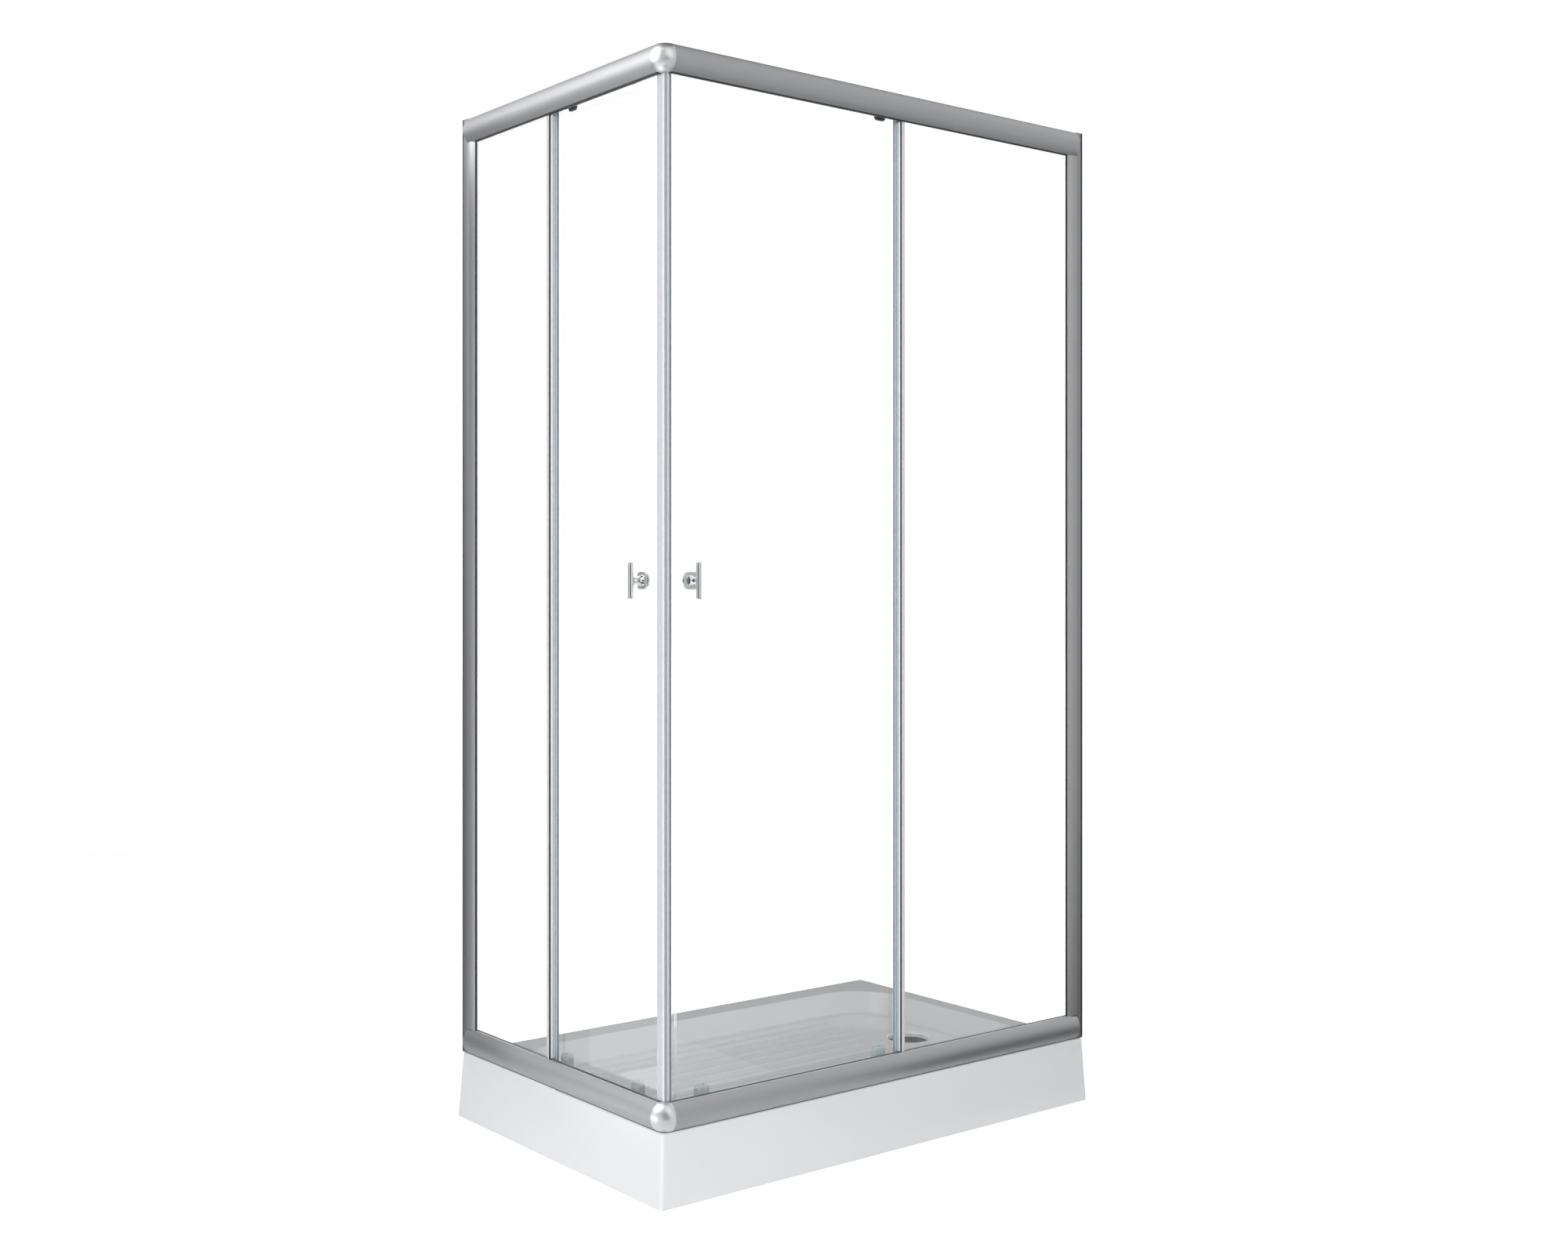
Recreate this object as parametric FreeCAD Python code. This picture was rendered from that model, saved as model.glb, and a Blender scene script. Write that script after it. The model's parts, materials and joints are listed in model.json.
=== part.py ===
"""Corner entry shower enclosure on a tray, in millimetres, +Z up.

The origin is the middle of the footprint, on the floor.
The entry corner is at -X -Y. The building's walls are at +X and +Y.
Each open side is drawn in its own side frame and then placed:
    u runs along the side, from the entry corner to the wall,
    n runs inwards, from the outermost plane of that side,
    z runs up from the floor.
The long side lies along X. The short side is its mirror image along Y.
"""
import FreeCAD
import Part
import math
import os

# Driving dimensions of the whole enclosure
tray_length = 1110.0
tray_width = 740.0
tray_height = 132.0
frame_height = 1948.0
long_entry = 592.0
short_entry = 409.0
long_front_guide = 122.0
short_front_guide = 137.0
long_guide_from_rear = 50.0
short_guide_from_rear = 38.0
long_hanger_from_rear = 57.0
short_hanger_from_rear = 76.0
long_handle = 88.0
short_handle = 106.0

# One overrun serves every cut
overrun = 20.0

# Shares that pick out edges by their way and place
straight_share = 0.9
level_share = 0.01
near_side_share = 0.33

# Tray shell
tray_wall = 5.0
skirt_flare = 13.0
skirt_floor_gap = 1.0
skirt_edge_round = 4.0
skirt_corner_round = 5.0
wall_lip_height = 30.0
skirt_return = 30.0
rim_entry = 84.0
rim_long_wall = 60.0
rim_short_wall = 42.0
basin_depth = 45.0
basin_slope = 40.0
basin_corner = 130.0
basin_foot_round = 24.0
basin_rim_round = 6.0
rib_pitch = 47.0
rib_width = 24.0
rib_height = 2.5
rib_root = 0.6
rib_start = 172.0
rib_end_from_wall = 242.0

# Waste outlet in the tray floor
drain_radius = 45.0
drain_seat_radius = 52.0
drain_seat_depth = 4.0
drain_boss_radius = 60.0
drain_boss_depth = 6.0
drain_from_short_wall = 166.0
drain_from_long_wall = 355.0
drain_clearance = 2.0

# Under the tray
board_thickness = 12.0
board_margin = 6.0
bar_size = 25.0
bar_wall = 1.5
bar_first = 160.0
bar_middle_from_wall = 510.0
bar_last_from_wall = 94.0
foot_inset = 75.0
foot_pad_radius = 22.0
foot_pad_height = 9.0
foot_socket_depth = 5.0
foot_collar_radius = 10.0
foot_stud_radius = 5.0
foot_nut_across = 17.0
foot_nut_height = 8.0
thread_clearance = 0.2

# Rails
base_seal = 2.0
rail_inset = 1.0
rail_height = 50.0
rail_depth = 50.0
rail_bulge = 13.0
rail_wall = 1.6
lip_seal_drop = 2.2
lip_seal_width = 4.6
drip_lip_height = 6.0
top_back_foot = 14.0

# Panes
glass = 5.0
fixed_face = 20.0
door_face = 35.0
pane_gasket = 0.9
fixed_glass_in_top = 30.0
fixed_glass_in_base = 12.0
door_glass_in_top = 22.0
door_glass_in_base = 18.0
door_overlap = 12.0

# Top track and top wheels
wheel_width = 6.0
wheel_bore = 2.55
axle_radius = 2.5
roll_clearance = 0.03
top_wheel_radius = 12.0
top_groove_radius = 10.0
groove_half_width = 1.4
bead_width = 1.6
top_shelf_height = 18.0
top_bead_height = 2.4
top_wheel_depth = 42.5
stop_length = 12.0
stop_height = 15.0
stop_gap = 0.3

# Lower guide lip and lower wheels
lower_wheel_radius = 9.0
lower_groove_radius = 7.5
lower_shelf_height = 26.0
lower_bead_height = 2.0
lower_wheel_depth = 33.5
lower_shelf_reach = 38.0

# Corner connectors
cap_leg = 34.0
cap_proud = 0.6
connector_reach = 46.0
connector_clearance = 0.4
connector_foot = 6.0

# Wall channel and the jamb that telescopes into it
channel_width = 17.0
channel_face = 10.0
channel_back = 31.0
channel_wall = 1.8
channel_flange = 1.6
jamb_reach = 39.0
jamb_gap = 0.5
jamb_tongue_end = 3.0
jamb_bow = 2.5
jamb_nose_depth = 17.4
jamb_slot_depth = 16.0
jamb_back_set = 9.0
glass_in_jamb = 14.0
gasket_show = 3.0
wall_hole_radius = 2.6
wall_hole_inset = 150.0

# Door edge profiles
seal_wall = 1.6
magnet_seal_grip = 12.0
magnet_seal_glass = 45.0
magnet_gap = 0.25
magnet_head_face = 26.0
magnet_head_clear = 2.0
long_magnet_head = 41.0
short_magnet_head = 50.0
rear_seal_width = 16.0
rear_seal_nose = 3.0
strip_width = 11.0
strip_wall = 1.4
strip_nose = 2.0
strip_lip_wall = 1.5
strip_lip_end = 32.5
strip_lip_clear = 8.0

# Top carriers
carrier_width = 26.0
carrier_thickness = 3.8
front_carrier_foot = 3.0
rear_carrier_drop = 5.0
carrier_top = 40.0
carrier_round = 6.0
pane_clearance = 0.2
glass_bolt_height = 11.0
glass_bolt_radius = 2.5
glass_bolt_length = 9.0
glass_bolt_head_radius = 6.0
glass_bolt_head = 2.5
glass_hole_radius = 4.0
axle_head_radius = 4.5
axle_head = 1.8
axle_shoulder_radius = 4.0
axle_end_play = 0.3
axle_tail = 0.4

# Lower guides with push button release
housing_width = 26.0
housing_depth = 13.0
housing_start = 40.5
housing_foot = 20.0
housing_top = 54.0
housing_round = 6.5
shield_thickness = 2.5
shield_top = 62.0
finger_gap = 11.0
lower_bolt_height = 41.0
plunger_bore = 2.8
plunger_radius = 2.6
press_travel = 4.0
button_radius = 3.8
button_bore = 4.1
button_left_proud = 2.0
button_height = 8.0
button_round = 1.0
spring_space = 9.0
spring_inner_radius = 2.9
spring_outer_radius = 3.7
shoe_width = 12.0
shoe_depth = 9.0
shoe_gap = 0.3
shoe_below_axle = 6.0
keeper_radius = 3.6
keeper_width = 1.0

# Handles
handle_height = 1120.0
handle_bar_radius = 5.5
handle_bar_length = 67.0
handle_bar_depth = 7.0
handle_end_round = 1.5
handle_stem_radius = 5.0
handle_collar_radius = 8.5
handle_collar = 4.0
handle_base_width = 27.0
handle_base_height = 32.0
handle_base_thickness = 5.0
handle_base_round = 6.0
handle_back_radius = 13.0
handle_back_thickness = 3.5
handle_screw_radius = 4.0
handle_screw_reach = 16.0
handle_screw_clearance = 0.1
handle_hole_radius = 6.0

# Small screws
screw_radius = 1.9
screw_hole_radius = 2.0
screw_head_radius = 3.4
screw_head = 1.9
screw_length = 10.0
connector_screw_pitch = 22.0
connector_screw_height = 39.0

# Levels worked out from the sizes above
rail_base = tray_height + base_seal
frame_top = rail_base + frame_height
top_rail_base = frame_top - rail_height
basin_floor = tray_height - basin_depth
floor_underside = basin_floor - tray_wall
board_underside = floor_underside - board_thickness
bar_underside = board_underside - bar_size
rib_end = tray_length - rib_end_from_wall
fixed_inner_face = fixed_face + glass
door_inner_face = door_face + glass
rail_back = rail_inset + rail_depth
rib_face = fixed_inner_face + pane_gasket
rib_back = rib_face + rail_wall
fixed_glass_foot = rail_base + fixed_glass_in_base
fixed_glass_head = top_rail_base + fixed_glass_in_top
door_foot = rail_base + rail_height - door_glass_in_base
door_head = top_rail_base + door_glass_in_top
top_wheel_middle = top_wheel_depth + wheel_width / 2
top_shelf_top = top_rail_base + top_shelf_height + rail_wall
top_bead_top = top_shelf_top + top_bead_height
top_axle_level = top_bead_top + top_groove_radius + roll_clearance
lower_wheel_middle = lower_wheel_depth + wheel_width / 2
lower_shelf_underside = rail_base + lower_shelf_height
lower_bead_foot = lower_shelf_underside - lower_bead_height
lower_axle_level = lower_bead_foot - lower_groove_radius - roll_clearance
carrier_face = door_face - pane_clearance - carrier_thickness
carrier_feet = {"front": top_rail_base + front_carrier_foot, "rear": top_rail_base - rear_carrier_drop}
housing_back = housing_start + housing_depth
body_face = housing_start + shield_thickness
housing_middle = (body_face + housing_back) / 2
housing_base_level = rail_base + housing_foot
housing_top_level = rail_base + housing_top
shield_top_level = rail_base + shield_top
button_show = press_travel + button_left_proud

Vector = FreeCAD.Vector
UP = Vector(0, 0, 1)
ALONG = Vector(1, 0, 0)


class Side:
    """One open side: its length to the wall, the edge of its fixed pane and its door's travel."""

    def __init__(self, name, length, entry):
        self.name = name
        self.length = length
        self.entry = entry
        self.door_rear = entry + door_overlap
        self.travel = length - jamb_reach - channel_width - self.door_rear

    def fit_door(self, front, guide_from_rear, hanger_from_rear, handle, magnet_head):
        """Where the door carries its lower guides, its top wheels, its handle and its seal."""
        self.guides = {"front": front, "rear": self.door_rear - guide_from_rear}
        self.hangers = {"front": front, "rear": self.door_rear - hanger_from_rear}
        self.handle = handle
        self.magnet_head = magnet_head


long_side = Side("long", tray_length, long_entry)
long_side.fit_door(long_front_guide, long_guide_from_rear, long_hanger_from_rear,
                   long_handle, long_magnet_head)
short_side = Side("short", tray_width, short_entry)
short_side.fit_door(short_front_guide, short_guide_from_rear, short_hanger_from_rear,
                    short_handle, short_magnet_head)
sides = (long_side, short_side)


# Basic shapes
def box(u0, u1, n0, n1, z0, z1):
    return Part.makeBox(u1 - u0, n1 - n0, z1 - z0, Vector(u0, n0, z0))


def rod(start, end, radius):
    axis = end - start
    return Part.makeCylinder(radius, axis.Length, start, axis)


def rod_up(u, n, z0, z1, radius):
    return rod(Vector(u, n, z0), Vector(u, n, z1), radius)


def rod_inwards(u, z, n0, n1, radius):
    return rod(Vector(u, n0, z), Vector(u, n1, z), radius)


def joined(shapes):
    whole = shapes[0].multiFuse(shapes[1:]) if len(shapes) > 1 else shapes[0]
    return whole.removeSplitter()


def extruded(points, direction):
    wire = Part.makePolygon(points + [points[0]])
    return Part.Face(wire).extrude(direction)


def round_edges(solid, radius, wanted):
    edges = [edge for edge in solid.Edges if wanted(edge)]
    return solid.makeFillet(radius, edges) if edges else solid


def is_level_at(edge, z):
    return all(abs(vertex.Z - z) < level_share * tray_wall for vertex in edge.Vertexes)


def runs_inwards(edge):
    ends = edge.Vertexes
    if len(ends) < 2:
        return False
    way = ends[1].Point - ends[0].Point
    return way.Length > 0 and abs(way.y) > straight_share * way.Length


def placed(shape, side):
    """Move a shape from its side frame to the row frame."""
    if side is short_side:
        shape = shape.mirror(Vector(0, 0, 0), Vector(1, -1, 0))
    moved = shape.copy()
    moved.translate(Vector(-tray_length / 2, -tray_width / 2, 0))
    return moved


# Tray
def rectangle(u0, u1, n0, n1, z):
    corners = [Vector(u0, n0, z), Vector(u1, n0, z), Vector(u1, n1, z), Vector(u0, n1, z)]
    return Part.makePolygon(corners + [corners[0]])


def rounded_rectangle(u0, u1, n0, n1, z, radius):
    centres = [(u1 - radius, n1 - radius), (u0 + radius, n1 - radius),
               (u0 + radius, n0 + radius), (u1 - radius, n0 + radius)]
    arcs = []
    for quarter, (u, n) in enumerate(centres):
        turns = [math.radians(90 * quarter + step) for step in (0, 45, 90)]
        points = [Vector(u + radius * math.cos(t), n + radius * math.sin(t), z) for t in turns]
        arcs.append(Part.Arc(*points).toShape())
    edges = []
    for index, arc in enumerate(arcs):
        following = arcs[(index + 1) % len(arcs)]
        edges.append(arc)
        edges.append(Part.LineSegment(arc.lastVertex().Point, following.firstVertex().Point).toShape())
    return Part.Wire(edges)


def basin_form(grow, top, bottom):
    """The hollow of the basin, grown by a wall, from a level to a lower level."""
    def outline(z):
        drawn_in = basin_slope * (tray_height - z) / basin_depth
        return rounded_rectangle(rim_entry + drawn_in - grow,
                                 tray_length - rim_short_wall - drawn_in + grow,
                                 rim_entry + drawn_in - grow,
                                 tray_width - rim_long_wall - drawn_in + grow,
                                 z, basin_corner - drawn_in + grow)
    form = Part.makeLoft([outline(top), outline(bottom)], True, True)
    return round_edges(form, basin_foot_round + grow, lambda edge: is_level_at(edge, bottom))


def tray_block(inset, bottom, top):
    """The outer form of the tray, whose two open sides flare towards the floor."""
    def outline(z):
        lean = skirt_flare * (z - skirt_floor_gap) / (tray_height - skirt_floor_gap)
        return rectangle(lean + inset, tray_length - inset, lean + inset, tray_width - inset, z)
    return Part.makeLoft([outline(bottom), outline(top)], True, True)


def tray_rib(n):
    """The top slice of a lying capsule: a low ribbed back with domed ends."""
    half = rib_width / 2
    radius = (half ** 2 + rib_height ** 2) / (2 * rib_height)
    level = basin_floor + rib_height - radius
    slant = radius * math.sqrt(0.5)
    nose = Part.Arc(Vector(rib_start - radius, n, level), Vector(rib_start - slant, n, level + slant),
                    Vector(rib_start, n, level + radius)).toShape()
    tail = Part.Arc(Vector(rib_end, n, level + radius), Vector(rib_end + slant, n, level + slant),
                    Vector(rib_end + radius, n, level)).toShape()
    back = Part.LineSegment(nose.lastVertex().Point, tail.firstVertex().Point).toShape()
    middle = Part.LineSegment(tail.lastVertex().Point, nose.firstVertex().Point).toShape()
    capsule = Part.Face(Part.Wire([nose, back, tail, middle])).revolve(Vector(0, n, level), ALONG, 360)
    slice_above_floor = box(rib_start - rib_width, rib_end + rib_width, n - rib_width, n + rib_width,
                            basin_floor - rib_root, basin_floor + rib_height * 2)
    return capsule.common(slice_above_floor)


def drain_place():
    return tray_length - drain_from_short_wall, tray_width - drain_from_long_wall


def tray_under_cuts():
    """The hollow under the tray, open to both walls below the wall lips."""
    hollow = tray_block(tray_wall, -overrun, tray_height - tray_wall)
    lip_foot = tray_height - wall_lip_height
    beside_skirt = skirt_flare + skirt_return
    short_wall = box(tray_length - overrun, tray_length + overrun, beside_skirt,
                     tray_width + overrun, -overrun, lip_foot)
    long_wall = box(beside_skirt, tray_length + overrun, tray_width - overrun,
                    tray_width + overrun, -overrun, lip_foot)
    return [hollow, short_wall, long_wall]


def shower_tray():
    u, n = drain_place()
    block = tray_block(0, skirt_floor_gap, tray_height)
    block = round_edges(block, skirt_corner_round,
                        lambda edge: edge.CenterOfMass.x < tray_wall + skirt_flare
                        and edge.CenterOfMass.y < tray_wall + skirt_flare)
    block = round_edges(block, skirt_edge_round,
                        lambda edge: is_level_at(edge, tray_height)
                        and (edge.CenterOfMass.x < tray_length * near_side_share
                             or edge.CenterOfMass.y < tray_width * near_side_share))
    shell = block.cut(tray_under_cuts())
    bowl = basin_form(tray_wall, tray_height - tray_wall / 2, floor_underside)
    boss = rod_up(u, n, floor_underside - drain_boss_depth, basin_floor - tray_wall / 2, drain_boss_radius)
    shell = joined([shell, bowl, boss])
    shell = shell.cut(basin_form(0, tray_height, basin_floor))
    first = n_middle_of_basin() - rib_pitch * (rib_count() - 1) / 2
    shell = round_edges(shell, basin_rim_round, is_basin_rim)
    shell = joined([shell] + [tray_rib(first + rib_pitch * index) for index in range(rib_count())])
    seat = rod_up(u, n, basin_floor - drain_seat_depth, tray_height, drain_seat_radius)
    hole = rod_up(u, n, -overrun, tray_height, drain_radius)
    return shell.cut([seat, hole])


def is_basin_rim(edge):
    box_of_edge = edge.BoundBox
    inside = (box_of_edge.XMin > rim_entry - tray_wall and box_of_edge.YMin > rim_entry - tray_wall
              and box_of_edge.XMax < tray_length - tray_wall * 2
              and box_of_edge.YMax < tray_width - tray_wall * 2)
    return inside and is_level_at(edge, tray_height)


def n_middle_of_basin():
    return (rim_entry + tray_width - rim_long_wall) / 2


def rib_count():
    """As many ribs as the flat of the floor takes at their pitch."""
    flat = tray_width - rim_entry - rim_long_wall - 2 * (basin_slope + basin_foot_round)
    return 1 + int((flat - rib_width) / rib_pitch)


def bar_places():
    return (bar_first, tray_length - bar_middle_from_wall, tray_length - bar_last_from_wall)


def board_outline():
    inner = rim_entry + basin_slope + board_margin
    last = tray_length - rim_short_wall - basin_slope - board_margin
    back = tray_width - rim_long_wall - basin_slope - board_margin
    return inner, last, inner, back


def tray_base_board():
    u, n = drain_place()
    u0, u1, n0, n1 = board_outline()
    board = box(u0, u1, n0, n1, board_underside, floor_underside)
    return board.cut(rod_up(u, n, -overrun, tray_height, drain_boss_radius + drain_clearance))


def tray_support_bars():
    bars = []
    n0 = skirt_flare + tray_wall + board_margin
    n1 = tray_width - tray_wall - board_margin
    for u in bar_places():
        outer = box(u - bar_size / 2, u + bar_size / 2, n0, n1, bar_underside, board_underside)
        half = bar_size / 2 - bar_wall
        bore = box(u - half, u + half, n0 - overrun, n1 + overrun,
                   bar_underside + bar_wall, board_underside - bar_wall)
        bar = outer.cut(bore)
        for n in foot_places():
            bar = bar.cut(rod_up(u, n, bar_underside - overrun, bar_underside + 2 * bar_wall,
                                 foot_stud_radius + thread_clearance))
        bars.append(bar)
    return bars


def foot_places():
    return (foot_inset, tray_width - foot_inset)


def each_foot():
    return [(u, n) for u in bar_places() for n in foot_places()]


def tray_foot_pads():
    pads = []
    for u, n in each_foot():
        pad = rod_up(u, n, 0, foot_pad_height / 2, foot_pad_radius)
        collar = rod_up(u, n, foot_pad_height / 2, foot_pad_height + foot_socket_depth, foot_collar_radius)
        socket = rod_up(u, n, foot_pad_height, foot_pad_height + overrun, foot_stud_radius)
        pads.append(joined([pad, collar]).cut(socket))
    return pads


def tray_foot_studs():
    top = board_underside - bar_wall - board_margin
    return [rod_up(u, n, foot_pad_height, top, foot_stud_radius) for u, n in each_foot()]


def tray_foot_nuts():
    nuts = []
    corner_radius = foot_nut_across / math.sqrt(3)
    for u, n in each_foot():
        points = []
        for corner in range(6):
            turn = math.radians(60 * corner)
            points.append(Vector(u + corner_radius * math.cos(turn), n + corner_radius * math.sin(turn),
                                 bar_underside - foot_nut_height))
        nut = extruded(points, Vector(0, 0, foot_nut_height))
        nuts.append(nut.cut(rod_up(u, n, 0, bar_underside + overrun, foot_stud_radius)))
    return nuts


# Rails
def bow_arc(u, z0, height, face, bulge):
    """The bowed front edge of a rail section, from its foot to its head."""
    return Part.Arc(Vector(u, face + bulge, z0), Vector(u, face, z0 + height / 2),
                    Vector(u, face + bulge, z0 + height)).toShape()


def bowed_section(u, z0, face, back):
    arc = bow_arc(u, z0, rail_height, face, rail_bulge)
    rest = Part.makePolygon([Vector(u, face + rail_bulge, z0 + rail_height),
                             Vector(u, back, z0 + rail_height),
                             Vector(u, back, z0), Vector(u, face + rail_bulge, z0)])
    return Part.Face(Part.Wire([arc] + rest.Edges))


def bowed_wall(side, z0):
    """The bowed front wall of a rail, one wall thick."""
    start = bow_arc(0, z0, rail_height, rail_inset, rail_bulge)
    inner = bow_arc(0, z0 + rail_wall, rail_height - 2 * rail_wall, rail_inset + rail_wall,
                    rail_bulge - rail_wall / 2)
    flange_back = rail_inset + rail_bulge + rail_wall
    joins = [Part.makePolygon([start.lastVertex().Point, Vector(0, flange_back, z0 + rail_height),
                               Vector(0, flange_back, z0 + rail_height - rail_wall),
                               inner.lastVertex().Point]),
             Part.makePolygon([inner.firstVertex().Point, Vector(0, flange_back, z0 + rail_wall),
                               Vector(0, flange_back, z0), start.firstVertex().Point])]
    edges = [start] + joins[0].Edges + [inner] + joins[1].Edges
    face = Part.Face(Part.Wire(Part.__sortEdges__(edges)))
    return face.extrude(Vector(side.length, 0, 0))


def rail_reach(side):
    """What a rail may fill: from the connector to the wall channel, mitred at the corner."""
    far = side.length - channel_width
    deep = rail_back + overrun
    points = [Vector(cap_leg, -overrun, 0), Vector(far, -overrun, 0), Vector(far, deep, 0),
              Vector(deep, deep, 0), Vector(cap_leg, cap_leg, 0)]
    return extruded(points, Vector(0, 0, frame_top + overrun))


def connector_screw_places():
    return [cap_leg + connector_reach / 2 + step * connector_screw_pitch / 2 for step in (-1, 1)]


def connector_screw_holes(base):
    level = base + connector_screw_height
    return [rod_inwards(u, level, rib_back - screw_length, rib_back + overrun, screw_hole_radius)
            for u in connector_screw_places()]


def top_rail(side):
    z0 = top_rail_base
    back_face = rail_back - rail_wall
    shelf_front = top_wheel_depth - axle_end_play
    pieces = [bowed_wall(side, z0),
              box(0, side.length, rail_inset + rail_bulge, rail_back, frame_top - rail_wall, frame_top),
              box(0, side.length, rail_inset + rail_bulge, fixed_face - pane_gasket, z0, z0 + rail_wall),
              box(0, side.length, rib_face, rib_back, z0, frame_top),
              box(0, side.length, back_face, rail_back, z0 + top_back_foot, frame_top),
              box(0, side.length, shelf_front, rail_back, top_shelf_top - rail_wall, top_shelf_top),
              box(0, side.length, top_wheel_middle - bead_width / 2, top_wheel_middle + bead_width / 2,
                  top_shelf_top - rail_wall, top_bead_top)]
    whole = joined(pieces).common(rail_reach(side))
    return whole.cut(connector_screw_holes(z0))


def bottom_rail(side):
    z0 = rail_base
    head = z0 + rail_height
    pieces = [bowed_wall(side, z0),
              box(0, side.length, rail_inset + rail_bulge, rail_back, z0, z0 + rail_wall),
              box(0, side.length, rail_inset + rail_bulge, fixed_face - pane_gasket, head - rail_wall, head),
              box(0, side.length, rib_face, rib_back, z0, head),
              box(0, side.length, rail_back - rail_wall, rail_back, z0, z0 + drip_lip_height),
              box(0, side.length, rib_back - rail_wall / 2, lower_shelf_reach,
                  lower_shelf_underside, lower_shelf_underside + rail_wall),
              box(0, side.length, lower_wheel_middle - bead_width / 2, lower_wheel_middle + bead_width / 2,
                  lower_bead_foot, lower_shelf_underside + rail_wall / 2)]
    whole = joined(pieces).common(rail_reach(side))
    return whole.cut(connector_screw_holes(z0))


def frame_base_seal(side):
    """A flat strip of rubber between the bottom rail and the rim of the tray."""
    setback = rail_inset + rail_bulge + rail_wall / 2
    strip = box(0, side.length, setback, rail_back - rail_wall, tray_height, rail_base)
    deep = rail_back + overrun
    keep = extruded([Vector(setback, setback, 0), Vector(side.length, setback, 0),
                     Vector(side.length, deep, 0), Vector(deep, deep, 0)], Vector(0, 0, frame_top))
    return strip.common(keep)


def top_rail_seal(side):
    """The black lip seal that hangs under the front lip of a top rail."""
    n1 = fixed_face - pane_gasket
    return box(cap_leg, side.length - jamb_reach - gasket_show, n1 - lip_seal_width, n1,
               top_rail_base - lip_seal_drop, top_rail_base)


def corner_connector(base):
    """A moulded corner piece: a bowed elbow that shows, and a leg inside each rail."""
    face = rail_inset - cap_proud
    back = rib_face - connector_clearance
    section = bowed_section(cap_leg, base, face, back)
    elbow = section.revolve(Vector(cap_leg, cap_leg, 0), UP, -90)
    leg_face = rail_inset + rail_bulge - rail_wall
    legs = []
    for side in sides:
        leg = box(cap_leg - connector_clearance, cap_leg + connector_reach, leg_face, back,
                  base + connector_foot, base + rail_height - connector_foot)
        leg = leg.cut(connector_screw_holes(base))
        if side is short_side:
            leg = leg.mirror(Vector(0, 0, 0), Vector(1, -1, 0))
        legs.append(leg)
    plate_level = base if base < frame_top / 2 else base + rail_height - rail_wall
    plate = rod_up(cap_leg, cap_leg, plate_level, plate_level + rail_wall,
                   cap_leg - back + connector_clearance)
    plate = plate.common(box(0, cap_leg, 0, cap_leg, base - overrun, base + rail_height + overrun))
    return joined([elbow, plate] + legs)


def frame_screw(u, n, z):
    """A small pan head screw, driven outwards, with its head on the face at n."""
    head = rod_inwards(u, z, n, n + screw_head, screw_head_radius)
    head = round_edges(head, screw_head / 2, lambda edge: edge.CenterOfMass.y > n + screw_head / 2)
    return joined([rod_inwards(u, z, n - screw_length, n, screw_radius), head])


# Wall channels, jambs and fixed panes
def wall_hole_levels():
    low = rail_base + wall_hole_inset
    high = frame_top - wall_hole_inset
    return (low, (low + high) / 2, high)


def jamb_screw_holes(side):
    u = side.length - channel_width / 2
    return [rod_inwards(u, z + wall_hole_inset / 2, channel_back - screw_length, channel_back + overrun,
                        screw_hole_radius) for z in wall_hole_levels()]


def wall_channel(side):
    wall = side.length
    middle = (channel_face + channel_back) / 2
    web = box(wall - channel_wall, wall, channel_face, channel_back, rail_base, frame_top)
    front = box(wall - channel_width, wall, channel_face, channel_face + channel_flange, rail_base, frame_top)
    back = box(wall - channel_width, wall, channel_back - channel_flange, channel_back, rail_base, frame_top)
    channel = joined([web, front, back])
    holes = [rod(Vector(wall - overrun / 2, middle, z), Vector(wall + overrun, middle, z), wall_hole_radius)
             for z in wall_hole_levels()]
    return channel.cut(holes + jamb_screw_holes(side))


def jamb_nose(side, z0, z1):
    """The bowed front wall of the jamb, from the channel to the pane."""
    outer = side.length - channel_width
    inner = side.length - jamb_reach
    middle = (outer + inner) / 2
    deep = (channel_face + jamb_nose_depth) / 2 - jamb_bow
    arcs = []
    for step in (0, rail_wall):
        arcs.append(Part.Arc(Vector(outer, channel_face + step, z0), Vector(middle, deep + step, z0),
                             Vector(inner, jamb_nose_depth + step, z0)).toShape())
    ends = [Part.LineSegment(arcs[0].lastVertex().Point, arcs[1].lastVertex().Point).toShape(),
            Part.LineSegment(arcs[1].firstVertex().Point, arcs[0].firstVertex().Point).toShape()]
    face = Part.Face(Part.Wire([arcs[0], ends[0], arcs[1], ends[1]]))
    return face.extrude(Vector(0, 0, z1 - z0))


def rail_envelope(side, base):
    """The space that a rail fills at its end, which the jamb is coped round."""
    section = bowed_section(0, base, rail_inset, rail_back)
    return section.extrude(Vector(side.length - channel_width, 0, 0))


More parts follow.
